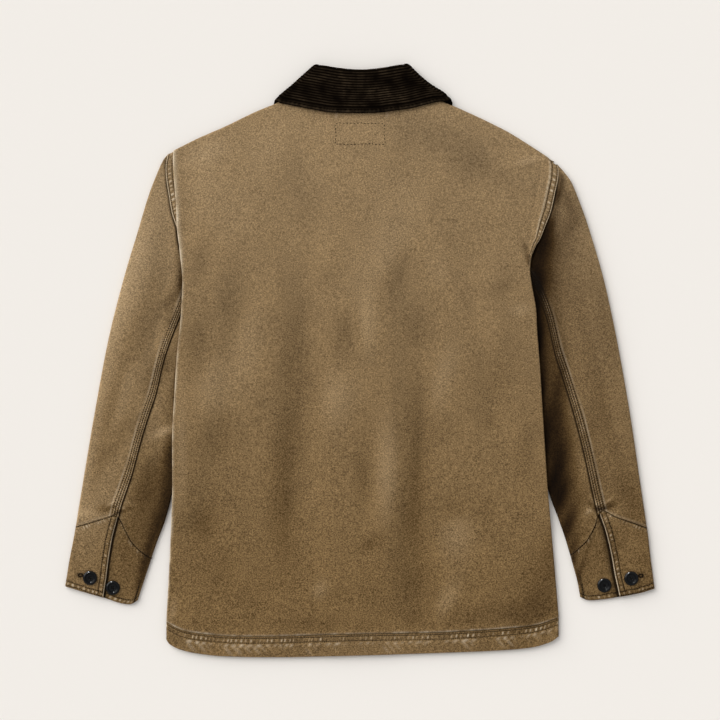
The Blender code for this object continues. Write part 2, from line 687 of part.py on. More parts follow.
    def cuff_turns(self, share):
        """Columns of the cuff: from under the slit's overlap round to the slit's edge."""
        share = np.broadcast_to(share, (24,)) if np.ndim(share) == 0 else share
        pace = self.turn_per_mm(share)
        slit = np.interp(share, self.shares, self.slit_turn)
        under = slit + UNDERLAP * pace
        index = np.arange(24)
        up = 1.0 + (under - 1.0) * np.interp(index, (0, 5), (1, 0))
        low = np.interp(index, (5, 8, 11), (1, 0, -1))
        flat = np.interp(index, (11, CUFF_TURNS_UNDER), (-1, -2))
        outer = np.interp(index, (CUFF_TURNS_UNDER, 20), (-2, -4))
        over = -4.0 + (slit - 6.0 + 4.0) * np.interp(index, (20, 23), (0, 1))
        turn = np.where(index < 5, up, np.where(index < 11, low, flat))
        return np.where(index < CUFF_TURNS_UNDER, turn, np.where(index < 20, outer, over))

    def make(self):
        """Upper sleeve, under sleeve, felled seam and cuff."""
        self.panel("upper_sleeve", self.upper_turns)
        self.panel("under_sleeve", self.under_turns)
        self.make_strip()
        self.make_cuff()

    def make_strip(self):
        """The felled seam's fold: the panels' own points, moved out."""
        end = self.cuff_share(self.strip_turns, SEAM_GAP)
        down = np.linspace(0, 1, SLEEVE_ROWS)[:, None] ** 1.25
        share = 0.02 + (np.minimum(end, end[1]) - 0.02) * down
        turn = np.array([self.strip_turns(row) for row in share])
        points = self.at(share, turn)
        points[..., 2] += STRIP_GAP + FELL_FOLD
        name = f"{self.side}_felled_seam"
        cloth(name, "canvas", points, self.collection, FELL_FOLD, self.flip())

    def make_cuff(self):
        """The cuff: one band round the wrist whose overlap lies above its underlap."""
        start = self.cuff_share(self.cuff_turns, -SEAM_GAP)
        down = np.linspace(0, 1, 5)[:, None]
        share = start + (1.0 - start) * down
        turn = np.array([self.cuff_turns(row) for row in share])
        over = np.arange(24) >= CUFF_TURNS_UNDER
        height = np.broadcast_to(np.where(over, CUFF_HEIGHT, TUCKED_HEIGHT), turn.shape)
        points = self.at(share, turn, height)
        name = f"{self.side}_cuff"
        cloth(name, "cuff canvas", points, self.collection, CUFF_FOLD, self.flip(True))


def half_circle(start, end, outward, steps):
    """Points on the half circle that joins the end points of two layers, one over the other."""
    middle, radius = (start + end) / 2, (start[..., 2] - end[..., 2]) / 2
    points = []
    for angle in np.linspace(math.pi / 2, -math.pi / 2, steps + 2)[1:-1]:
        share = (1 - math.sin(angle)) / 2
        point = start + (end - start) * share
        point = point + outward * (radius * math.cos(angle))[..., None]
        point[..., 2] = middle[..., 2] + radius * math.sin(angle)
        points.append(point)
    return np.stack(points, axis=1)


class Collar:
    """A turned-down collar: its fall over the back, its leaves under the fronts.

    Columns run along the collar from the left leaf's front edge over the back to the
    right leaf's. Rows run from the neck side over the fold to the outer edge.
    """

    BACK_COUNT = 9
    LEAF_COUNT = 3
    SIDE_STEPS = 3

    def __init__(self, collection):
        self.collection = collection
        fold, edge = Edge(COLLAR_FOLD, by_width=True), Edge(COLLAR_EDGE, by_width=True)
        left = Edge([fold.line[0], (fold.line[0] + edge.line[0]) / 2, edge.line[0]])
        right = Edge([fold.line[-1], (fold.line[-1] + edge.line[-1]) / 2, edge.line[-1]])
        self.back = Patch(fold, edge, left, right)
        self.sides = {-1: left, 1: right}
        self.leaves = {sign: self.leaf(sign) for sign in (-1, 1)}

    def leaf(self, sign):
        """The leaf's outline: its top is the fold, its first edge the collar's side."""
        side = self.sides[sign]
        corner, tip = side.line[0], side.line[-1]
        point, end = np.array(COLLAR_POINT), np.array(LEAF_END)
        fold = [corner, (sign * LEAF_FOLD[1][1], LEAF_FOLD[1][2]), end * (sign, 1)]
        edge = [tip, (tip + point * (sign, 1)) / 2 - (0, 3), point * (sign, 1)]
        front = [end * (sign, 1), (end + point) / 2 * (sign, 1), point * (sign, 1)]
        return Patch(Edge(fold), Edge(edge), side, Edge(front))

    def outward(self, sign):
        """Direction out of the collar's side edge."""
        side = self.sides[sign]
        run = side.line[-1] - side.line[0]
        out = np.array((-run[1], run[0])) * sign
        return np.append(out / np.hypot(*out), 0.0)

    def shell(self, rows, inset, top_raise, leaf_height, roll_rows):
        """Points of one layer: fold rows first, then the rows down the fall.

        inset is how far the layer lies inside the collar's side, top_raise its height
        over the back, and leaf_height its height in the leaves.
        """
        left, right = [], []
        near = inset + (top_raise + BACK_AT_NECK - leaf_height) / 2
        rolls = np.radians(np.linspace(-90, 90, roll_rows, endpoint=False)) if roll_rows else []
        back_roll, leaf_roll = (top_raise + LAYER) / 2, (COLLAR_LIFT + LAYER) / 2
        turned = np.array([1 - math.cos(angle) for angle in rolls])
        back_down = np.concatenate([turned * back_roll, back_roll + rows * (FALL_DEPTH - back_roll)])
        leaf_down = np.concatenate([turned * leaf_roll, leaf_roll + rows * (LEAF_DEPTH - leaf_roll)])
        fall = np.concatenate([1 - np.sin(rolls), np.zeros(len(rows))])
        width = FALL_TOP_WIDTH + FALL_SPREAD * back_down / FALL_DEPTH
        margin = (near / SIDE_SLOPE / width)[:, None]
        across = margin + (1 - 2 * margin) * np.linspace(0, 1, self.BACK_COUNT)
        places = self.back.at(across, (back_down / FALL_DEPTH)[:, None])
        height = back_height(places) + top_raise - (fall * back_roll)[:, None]
        back = np.dstack([places, height])
        leaf_across = np.linspace(near / LEAF_LENGTH, 1, self.LEAF_COUNT)
        for sign, store in ((-1, left), (1, right)):
            spots = self.leaves[sign].at(leaf_across[None, :], (leaf_down / LEAF_DEPTH)[:, None])
            turned_up = (fall / 2)[:, None]
            level = leaf_height + turned_up * (lift(spots) + LAYER - 2 * leaf_height)
            leaf = np.dstack([spots, level])
            top_end = back[:, 0] if sign < 0 else back[:, -1]
            out = self.outward(sign)
            store.extend([leaf, half_circle(top_end, leaf[:, 0], out, self.SIDE_STEPS)])
        return np.concatenate([left[0][:, ::-1], left[1][:, ::-1], back, right[1], right[0]], axis=1)

    def make_upper(self):
        """The corduroy layer: the wales stand out of its wall on the fall and the sides."""
        rows = np.linspace(0, 1, 2 * WALE_COUNT + 1)
        rise = COLLAR_GAP + UNDER_CORD + STRIP_GAP + CORDUROY
        points = self.shell(rows, 0.0, rise, 0.0, 6)
        wale = np.concatenate([np.zeros(6), (1 - np.cos(np.arange(len(rows)) * math.pi)) / 2])
        raised = np.zeros(points.shape[:2]) + (wale * WALE_HEIGHT)[:, None]
        leaf = self.LEAF_COUNT + self.SIDE_STEPS // 2 + 1
        raised[:, :leaf] = 0.0
        raised[:, -leaf:] = 0.0
        raised[-1] = 0.0
        cloth("upper_collar", "corduroy", points, self.collection, CORDUROY, True, raised)

    def make_under(self):
        """The layer inside the fold of the fall."""
        inset = CORDUROY + STRIP_GAP
        rows = np.linspace(0.045, 0.985, 6)
        rise = COLLAR_GAP + UNDER_CORD
        points = self.shell(rows, inset, rise, inset, 0)
        cloth("under_collar", "corduroy", points, self.collection, UNDER_CORD, True)

    def make_stand(self):
        """The band between the neck seam and the fold, in one piece round the neck."""
        rows = np.linspace(0, 1, 3)[:, None]
        half = np.linspace(-1, 1, self.BACK_COUNT)
        upper = self.back.top.at(0.5 + half * 0.42) - (0, STAND_BELOW_FOLD)
        neck = Edge(BACK_TOP, by_width=True)
        reach = neck.line[-1, 0] - neck.line[0, 0]
        lower = neck.at((half * STAND_NECK_HALF - neck.line[0, 0]) / reach) + (0, 2 * SEAM_GAP)
        places = upper[None] + (lower - upper)[None] * rows[..., None]
        back = np.dstack([places, back_height(places)])
        fronts = {}
        for sign in (-1, 1):
            table = FRONT_LEFT_TOP if sign < 0 else FRONT_RIGHT_TOP
            inside = (-sign * 4.5 * SEAM_GAP, 2 * SEAM_GAP)
            seam = Edge(table[7:11]).at(np.linspace(0.06, 1, 5)) + inside
            inset = np.array(STAND_FRONT_INSET) * (sign, -1)
            fold = self.leaves[sign].top.at(np.linspace(0.15, 1, 5)) + inset
            spots = fold[None] + (seam - fold)[None] * rows[..., None]
            front = np.dstack([spots, lift(spots)])
            end = back[:, 0] if sign < 0 else back[:, -1]
            out = self.outward(sign)
            fronts[sign] = (front, half_circle(end, front[:, 0], out, 3))
        parts = [fronts[-1][0][:, ::-1], fronts[-1][1][:, ::-1], back, fronts[1][1], fronts[1][0]]
        points = np.concatenate(parts, axis=1)
        cloth("collar_stand", "corduroy", points, self.collection, CANVAS, True)


def button_mesh(profile):
    """A turned button with four holes, worked out once for all that share it."""
    build = bmesh.new()
    points = [build.verts.new((radius * MM, 0.0, height * MM)) for radius, height in profile]
    for upper, lower in zip(points, points[1:]):
        build.edges.new((upper, lower))
    mesh = bpy.data.meshes.new("button_profile")
    build.to_mesh(mesh)
    build.free()
    turned = bpy.data.objects.new("button_profile", mesh)
    bpy.context.scene.collection.objects.link(turned)
    screw = turned.modifiers.new("turn", "SCREW")
    screw.steps = screw.render_steps = BUTTON_STEPS
    screw.use_merge_vertices = True
    screw.merge_threshold = 0.00001
    holes = bmesh.new()
    for quarter in range(4):
        angle = math.radians(45 + 90 * quarter)
        place = [math.cos(angle), math.sin(angle)]
        hole = bmesh.ops.create_cone(
            holes, cap_ends=True, segments=6, radius1=BUTTON_HOLE_RADIUS * MM,
            radius2=BUTTON_HOLE_RADIUS * MM, depth=4 * BUTTON_THICKNESS * MM)
        shift = [BUTTON_HOLE_PLACE * MM * part for part in place] + [0.0]
        bmesh.ops.translate(holes, verts=hole["verts"], vec=shift)
    hole_mesh = bpy.data.meshes.new("button_holes")
    holes.to_mesh(hole_mesh)
    holes.free()
    cutter = bpy.data.objects.new("button_holes", hole_mesh)
    bpy.context.scene.collection.objects.link(cutter)
    cut = turned.modifiers.new("holes", "BOOLEAN")
    cut.operation = "DIFFERENCE"
    cut.object = cutter
    bpy.context.view_layer.update()
    graph = bpy.context.evaluated_depsgraph_get()
    made = bpy.data.meshes.new_from_object(turned.evaluated_get(graph))
    bpy.data.objects.remove(turned)
    bpy.data.objects.remove(cutter)
    return made


def place_button(name, mesh, place, face_down, collection):
    """One button, flat on its back, or with its rim on the surface."""
    button = bpy.data.objects.new(name, mesh.copy())
    button.data.materials.clear()
    button.data.materials.append(finish_for(name, "button"))
    button.data.shade_smooth()
    button.data.set_sharp_from_angle(angle=math.radians(40))
    button.location = [value * MM for value in place]
    if face_down:
        button.rotation_euler = (math.pi, 0.0, 0.0)
    collection.objects.link(button)


def make_buttons(collection):
    """Two buttons on each cuff, and the row that closes the front."""
    mesh, plain = button_mesh(BUTTON_PROFILE), button_mesh(PLAIN_PROFILE)
    for side in SLEEVES:
        fastened, spare = SLEEVES[side]["buttons"]
        on_overlap = (*fastened, CUFF_HEIGHT + STRIP_GAP)
        on_underlap = (*spare, TUCKED_HEIGHT + STRIP_GAP)
        place_button(f"{side}_cuff_button", mesh, on_overlap, False, collection)
        place_button(f"{side}_cuff_button_spare", mesh, on_underlap, False, collection)
    for number, height in enumerate(FRONT_BUTTON_HEIGHTS, start=1):
        place = (0.0, height, float(lift(np.array((0.0, height)))) - STRIP_GAP)
        place_button(f"front_button_{number}", plain, place, True, collection)


def main():
    """Builds the coat, piece by piece."""
    collection = clear_scene()
    make_back(collection)
    for side in SLEEVES:
        make_front(side, collection)
    for side in SLEEVES:
        Sleeve(side, collection).make()
    collar = Collar(collection)
    collar.make_upper()
    collar.make_under()
    collar.make_stand()
    make_buttons(collection)


main()
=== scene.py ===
"""The looks of a canvas barn coat that lies flat on its front, its back up.

Every piece of cloth is a sheet of points worked out with numpy on the form of its CAD
solid, with the creases, puckers and seams that a washed coat has. The tables are in
millimetres, seen from above: x to the right, y towards the collar, z up. The finished
meshes are in metres.
"""

import logging
import math
from dataclasses import dataclass, field
from enum import Enum
from typing import Callable

import bpy
import numpy as np
from numpy.typing import NDArray
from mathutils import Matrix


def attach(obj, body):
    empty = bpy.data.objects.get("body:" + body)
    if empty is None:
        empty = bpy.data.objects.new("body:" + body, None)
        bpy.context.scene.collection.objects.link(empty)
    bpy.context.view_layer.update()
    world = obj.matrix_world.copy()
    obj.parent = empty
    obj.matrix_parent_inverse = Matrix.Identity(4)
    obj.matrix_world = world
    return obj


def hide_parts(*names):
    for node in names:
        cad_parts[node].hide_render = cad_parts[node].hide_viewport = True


Points = NDArray[np.float64]
Row = tuple[float, ...]
Piece = bpy.types.Object
Material = bpy.types.Material
Socket = bpy.types.NodeSocket
LOG = logging.getLogger("barn_coat")
MM = 0.001

# Heights of the layers, as the solids have them
LAYER = 1.5
SHOULDER_HEIGHT, TUCKED_HEIGHT, CUFF_HEIGHT = 6.4, 4.6, 6.8
SLEEVE_LIFT, COLLAR_LIFT, PLACKET_LIFT, PLACKET_STEP, LAYER_ROOM = 6.4, 3.5, 3.3, 2.6, 1.8
SEAM_GAP, ROLL_SEAM, PLACKET_HALF = 0.6, 0.9, 22.0
SLEEVE_ROOM, ARMPIT_HEIGHT, ARMPIT_RAMP = 64.0, 212.0, 105.0
WRIST_HEIGHT, WRIST_RAMP = -268.0, 62.0
NECK_MIDDLE, LEAF_REACH, LEAF_RAMP = 350.0, 208.0, 64.0
PLACKET_REACH, PLACKET_RAMP, PLACKET_END, PLACKET_END_RAMP = 82.0, 48.0, -360.0, 60.0
STEP_REACH, STEP_TOP, STEP_RAMP = 80.0, 345.0, 40.0
NECK_POINT, NECK_RAMP = 92.0, 30.0
SHOULDER_ROLL, SHOULDER_SLOPE = SHOULDER_HEIGHT / 2, 0.9

# Lengths in millimetres that stand for a share of 1 down a piece
BACK_LENGTH, FRONT_LENGTH, SLEEVE_LENGTH = 665.0, 670.0, 600.0
FAR = 60.0  # a distance from an edge at which nothing of its seam shows
LABEL_RUBS = ((-33.5, 344.0), (38.2, 344.0))  # x, y

# Edges of the back as it shows: ridges beside the armholes, then the folds of the sides
BACK_LEFT_FOLD = (  # x, y
    (-261.7, 295), (-262.2, 281.7), (-261, 261.5), (-259.1, 232.7), (-257.4, 210.3),
    (-257, 190.7), (-255.1, 172.5), (-253, 157), (-248.8, 117), (-249.5, 88),
    (-251.5, 56), (-256.5, 7), (-260.5, -56), (-263, -105), (-263, -186), (-267, -275),
    (-271.7, -365),
)
BACK_RIGHT_FOLD = (  # x, y
    (265.5, 284), (263.6, 264.9), (261.1, 245.3), (257.5, 225.7), (254, 206),
    (249.9, 185), (246, 166.9), (241.4, 152.9), (238, 128), (240.7, 105), (246.3, 73),
    (247.7, 45), (252, -12), (257.5, -102), (262.6, -178), (271, -270), (278.5, -359),
)
LEFT_ARMHOLE = (  # x, y
    (-269.8, 290.5), (-272.8, 272), (-271.3, 252), (-268, 231), (-264.2, 209), (-259.8, 195),
    (-255.4, 184), (-250, 172),
)
RIGHT_ARMHOLE = (  # x, y
    (277.2, 274.6), (278.6, 266), (277.4, 253), (274.3, 239.4), (271.4, 225.7), (267.2, 208.2),
    (260.8, 192), (252.6, 172), (247, 163), (242, 152), (239.6, 145.6), (237.6, 130),
)
BACK_TOP = (  # x, y
    (-261.7, 295), (-258, 297), (-225.5, 313.2), (-188, 329.5), (-152.7, 346.5), (-132, 355.4),
    (-120, 360), (-88, 374), (-50, 369), (0, 367), (50, 369), (88, 374), (124, 359.8),
    (137, 354.8), (173.5, 338.2), (207, 321.5), (233.7, 305.1), (259, 288.8), (265.5, 284),
)
HEM_SEAM = (  # x, y
    (-271.7, -365), (-256, -374), (-238, -379.4), (-200, -384.1), (-162.5, -385.7),
    (-106.5, -385.2), (0, -382), (78, -381), (137, -378.9), (196, -375.2), (245, -370),
    (278.5, -359.5),
)
HEM_EDGE = (  # x, y
    (-271.7, -390), (-265, -398), (-247, -405.7), (-218.5, -411), (-182, -414),
    (-106.5, -414.8), (0, -412.4), (78, -410), (176, -406.4), (235, -402), (264.5, -394.5),
    (278, -386),
)
FRONT_LEFT_SIDE = (  # x, y
    (-268, 290), (-255, 262), (-240.5, 222), (-231.5, 180), (-228.5, 148), (-224.5, 117),
    (-219, 101), (-228, 93), (-240, 88), (-249.7, 82), (-251.5, 56), (-256.5, 7),
    (-260.5, -56), (-263, -105), (-263, -186), (-267, -275), (-271.7, -365),
)
FRONT_RIGHT_SIDE = (  # x, y
    (272, 280), (259, 255), (243.5, 218), (233.5, 178), (226.5, 146), (219.5, 116),
    (214, 101), (222, 93), (234, 86), (244.5, 80), (247.7, 45), (252, -12), (257.5, -102),
    (262.6, -178), (271, -270), (278.5, -359),
)
FRONT_LEFT_TOP = (  # x, y
    (-268, 290), (-258, 296), (-225.5, 312.5), (-188, 329), (-152.7, 346), (-132, 354),
    (-121, 355.6), (-88, 374), (-76, 345), (-54, 316), (-22, 301), (22, 298),
)
FRONT_RIGHT_TOP = (  # x, y
    (272, 280), (259, 287), (233.7, 304), (207, 321), (173.5, 338), (137, 353.5),
    (124, 355.8), (88, 374), (76, 345), (54, 316), (22, 301), (-22, 298),
)

SIGNS = {"left": -1, "right": 1}
# Edges of the sleeves, laid flat; each is a table of x, y
SLEEVES = {
    "left": {
        "outer": (
            (-269.3, 290), (-276, 282), (-284, 265), (-297, 231), (-312, 181), (-332, 114),
            (-353, 30), (-372, -71), (-389, -172), (-400, -239), (-406.5, -273), (-413.6, -315.5),
        ),
        "inner": (
            (-216, 91), (-226, 10), (-243, -95), (-263.5, -186), (-273, -222), (-285.7, -256),
            (-296.9, -289.5), (-308, -323), (-311.6, -335),
        ),
        "back_armhole": (
            (-269.3, 290), (-271.8, 256), (-268.3, 231), (-264.8, 209), (-258.8, 188),
            (-255, 164), (-243, 128), (-228, 104), (-216, 91),
        ),
        "front_armhole": (
            (-269.3, 290), (-258, 262), (-243, 222), (-234, 180), (-231, 146), (-227, 115),
            (-216, 91),
        ),
        "cuff_hem": (
            (-413.6, -315.5), (-382.3, -325), (-358, -332), (-336.7, -339), (-321.4, -340.6),
            (-311.6, -335),
        ),
        "felled_seam": (
            (-236, 124), (-248.7, 85.7), (-270, 31), (-280.2, -1), (-290, -41.7),
            (-302, -78), (-312.7, -114.5), (-324, -156.5), (-339.2, -200), (-343, -215.3),
            (-346, -226),
        ),
        "cuff_seam": (
            (-420, -238), (-397.3, -231.3), (-374.6, -224.4), (-354.9, -218.4), (-342.7, -215.3),
            (-335.2, -223), (-329, -236.3), (-320, -253), (-308, -265.7), (-295, -274.5),
            (-280, -280),
        ),
        "slit": (
            (-337, -205), (-340.8, -222.3), (-347, -246), (-352.1, -275.5), (-355.7, -303.5),
            (-359.8, -330.7), (-361.4, -345),
        ),
        "buttons": ((-378.1, -303.5), (-346.5, -317.5)),
        "buttonhole": ((-391.7, -299.7),),
    },
    "right": {
        "outer": (
            (276, 276.5), (286.5, 264.5), (297, 249.5), (311, 214.5), (322.4, 181), (341.8, 114),
            (360, 30), (378, -71), (393, -172), (403, -239), (407, -273), (413, -318.5),
        ),
        "inner": (
            (208, 92), (222, 10), (243, -95), (263.3, -179), (278.5, -222), (290, -256),
            (299.5, -289.5), (305, -310), (308.7, -330.7),
        ),
        "back_armhole": (
            (276, 276.5), (276.8, 252), (273.8, 231), (268.1, 209), (259.8, 188),
            (251.8, 170), (243.5, 150), (228, 115), (208, 92),
        ),
        "front_armhole": (
            (276, 276.5), (262, 255), (246, 218), (236, 178), (229, 146), (222, 114),
            (208, 92),
        ),
        "cuff_hem": (
            (413, -318.5), (391.9, -325), (361.8, -330.6), (340, -334), (320, -335),
            (308.7, -330.7),
        ),
        "felled_seam": (
            (232, 128), (243.5, 112), (253.7, 96), (266.1, 62), (277.4, 14.3), (286.7, -13.7),
            (298.9, -52.9), (309.3, -89.3), (319.6, -130.6), (330.3, -180.3), (337.3, -208.3),
            (341, -222),
        ),
        "cuff_seam": (
            (425, -240), (402, -232.8), (380, -225), (358.8, -217.7), (340.6, -209.3),
            (332.2, -218), (328.4, -230.7), (317.7, -250.3), (307.2, -261), (296.7, -269.9),
            (280, -277),
        ),
        "slit": (
            (332.5, -200), (336, -213.9), (344.5, -239), (351.8, -269.9), (357, -299.3),
            (363.6, -329.3), (366, -345),
        ),
        "buttons": ((379.7, -304.2), (342.2, -314)),
        "buttonhole": ((393.3, -300.4),),
    },
}
SLEEVE_DIP = (  # share of the sleeve's length, share of its width from the outer edge
    (0.0, 0.50), (0.2, 0.55), (0.35, 0.66), (0.5, 0.80), (0.7, 0.95), (1.0, 1.0),
)

# Edges of the collar
COLLAR_FOLD = (  # x, y
    (-67, 412.4), (-55, 414), (-25, 409.6), (0, 408), (25, 409.6), (57, 414.6), (71, 414),
)
COLLAR_EDGE = (  # x, y
    (-122, 363), (-80, 354.5), (-56, 350), (-39, 347.5), (0, 346.8), (27, 347.5),
    (43, 349.6), (71, 353.4), (92, 358.6), (110, 362.6), (131, 363),
)
COLLAR_LEFT_SIDE = (  # x, y
    (-67, 412.4), (-81, 400.4), (-94.4, 389), (-108.8, 377.4), (-118, 369.4), (-122, 363),
)
COLLAR_RIGHT_SIDE = (  # x, y
    (71, 414), (83.3, 401), (98, 388.6), (110.2, 380.7), (119.8, 375), (128, 367.5), (131, 363),
)
LEAF_FOLD_MIDDLE, LEAF_END, COLLAR_POINT = (44, 365), (16, 318), (70, 245)
FALL_DEPTH, FALL_TOP_WIDTH, FALL_SPREAD = 61.0, 129.0, 123.0
LEAF_DEPTH, LEAF_LENGTH, SIDE_SLOPE, BACK_AT_NECK = 88.0, 110.0, 0.65, 8.4
FRONT_BUTTON_HEIGHTS = (268, 138, 8, -122, -252)

# Creases: middle x, y, direction in degrees, half length, half width, height
BACK_FOLDS = (
    (-94, -30, 92, 210, 17, -1.5), (82, -120, 88, 200, 19, -1.4), (0, -160, 90, 90, 20, -1.0),
    (-34, 36, 80, 60, 16, -0.8), (36, -200, 84, 90, 16, 0.5), (140, -270, 100, 90, 22, -0.9),
    (-150, -300, 96, 90, 20, -0.9), (-175, 60, 70, 90, 22, -0.9), (170, 40, 108, 100, 22, -1.0),
    (150, 250, 150, 90, 20, -0.8),
)
FINE_CREASES = (
    (-75, 100, 88, 70, 11, -0.9), (-78, 20, 90, 60, 9, -1.0), (-80, -60, 86, 50, 9, -0.9),
    (-96, -150, 92, 70, 11, -0.9), (-94, -225, 86, 50, 10, -0.7), (60, 125, 68, 34, 9, -0.9),
    (88, 40, 84, 50, 10, -0.9), (88, -80, 90, 70, 9, -1.1), (84, -160, 88, 60, 9, -1.0),
    (84, -270, 86, 60, 12, -0.9), (14, 50, 86, 44, 9, 0.8), (42, -150, 88, 80, 11, 1.0),
    (12, -165, 88, 40, 7, -0.7), (-14, 34, 84, 24, 12, -0.8), (-38, 118, 70, 18, 9, -0.5),
    (-215, 140, 76, 34, 11, -0.8), (-218, 30, 84, 38, 10, -0.8), (-190, -110, 70, 30, 14, -0.7),
    (-208, -228, 74, 26, 14, -1.0), (203, 104, 18, 26, 8, -0.9), (196, -20, 78, 60, 22, -0.9),
    (186, -88, 50, 22, 9, -0.6), (120, -96, 20, 30, 10, -0.6), (136, -204, 30, 26, 9, -0.7),
    (182, -204, 80, 24, 9, -0.6), (124, -22, 76, 60, 14, 0.7), (130, -246, 80, 40, 16, 0.8),
    (236, 279, 8, 26, 5, 0.9), (238, 268, 30, 26, 4, -0.6), (120, 300, 155, 80, 20, -0.7),
    (-205, -36, 84, 50, 18, 0.6), (-34, -52, 80, 34, 18, 0.6), (80, -350, 50, 16, 8, -0.8),
    (122, -352, 60, 22, 10, 0.8), (236, -300, 60, 50, 18, -1.2), (176, -342, 12, 50, 10, -0.8),
    (-60, 250, 20, 60, 9, 0.35), (-100, 240, 80, 40, 14, -0.5), (-56, -320, 60, 14, 8, 0.7),
    (-196, -300, 80, 30, 14, -0.5), (18, -256, 30, 16, 7, -0.7), (-215, 250, 80, 50, 9, 0.5),
)
# Painted shade and light of the back's folds, troughs and dimples, partly uneven tone of the cloth:
# as the creases, the last number is the change of shade
BACK_PAINTED_SHADES = (
    (150, 160, 90, 250, 110, -0.022),
    (-90, 60, 90, 60, 24, -0.09), (-92, -20, 90, 70, 27, -0.12), (-104, -120, 84, 60, 26, -0.13),
    (-108, -215, 90, 70, 22, -0.13), (54, 118, 62, 34, 14, -0.09), (82, 48, 80, 36, 22, -0.09),
    (80, -60, 90, 50, 16, -0.12), (78, -150, 88, 60, 18, -0.15), (73, -230, 86, 50, 21, -0.11),
    (76, -305, 80, 34, 22, -0.12), (-23, 34, 86, 30, 18, -0.12), (-47, 118, 60, 16, 14, -0.08),
    (4, -160, 90, 40, 12, -0.11), (4, -98, 90, 20, 12, -0.04), (-224, 140, 80, 30, 16, -0.12),
    (-190, 110, 90, 60, 28, -0.02), (-228, 30, 86, 36, 16, -0.12), (-186, 76, 60, 22, 18, -0.05),
    (-200, -112, 60, 30, 22, -0.09), (-219, -227, 75, 30, 20, -0.14),
    (-196, -300, 80, 40, 26, -0.06),
    (200, 104, 20, 22, 9, -0.13), (191, -22, 75, 50, 34, -0.09), (182, -87, 45, 16, 13, -0.07),
    (112, -96, 10, 24, 18, -0.06), (130, -204, 20, 24, 15, -0.07), (177, -204, 80, 24, 14, -0.05),
    (262, -300, 66, 80, 26, -0.20), (180, -352, 8, 60, 16, -0.12), (240, -350, 20, 50, 18, -0.10),
    (126, 302, 152, 80, 28, -0.10), (175, 270, 150, 60, 20, -0.05), (-89, 249, 85, 34, 15, -0.07),
    (-76, 205, 70, 34, 16, -0.06), (79, -358, 60, 14, 11, -0.11), (16, -254, 30, 20, 9, -0.10),
    (-60, -366, 0, 50, 8, -0.07), (-219, 291, 20, 34, 14, 0.08), (-215, 250, 80, 60, 26, 0.05),
    (-205, -36, 80, 40, 26, 0.07), (-158, 16, 80, 60, 24, 0.05), (-33, -51, 80, 40, 26, 0.07),
    (117, -22, 72, 60, 20, 0.07), (135, -246, 85, 34, 24, 0.08), (121, -340, 70, 34, 14, 0.09),
    (224, 72, 10, 16, 10, 0.08), (32, 151, 60, 70, 30, 0.05), (11, 53, 90, 40, 14, 0.08),
    (39, -152, 90, 66, 16, 0.10), (-56, -320, 60, 14, 10, 0.08), (-180, 200, 70, 60, 30, 0.03),
    (60, 240, 90, 90, 50, 0.03), (233, 280, 12, 24, 7, 0.10), (110, 130, 90, 40, 20, 0.04),
    (231, 160, -60, 10, 4, -0.28), (234.5, 143, -80, 9, 3.2, -0.45), (60, 300, 90, 40, 30, -0.04),
    (-130, 300, 60, 40, 22, 0.04),
    (230, -120, 84, 60, 16, -0.06), (-250, -120, 90, 90, 8, 0.06), (-262, -350, 80, 18, 5, 0.10),
)
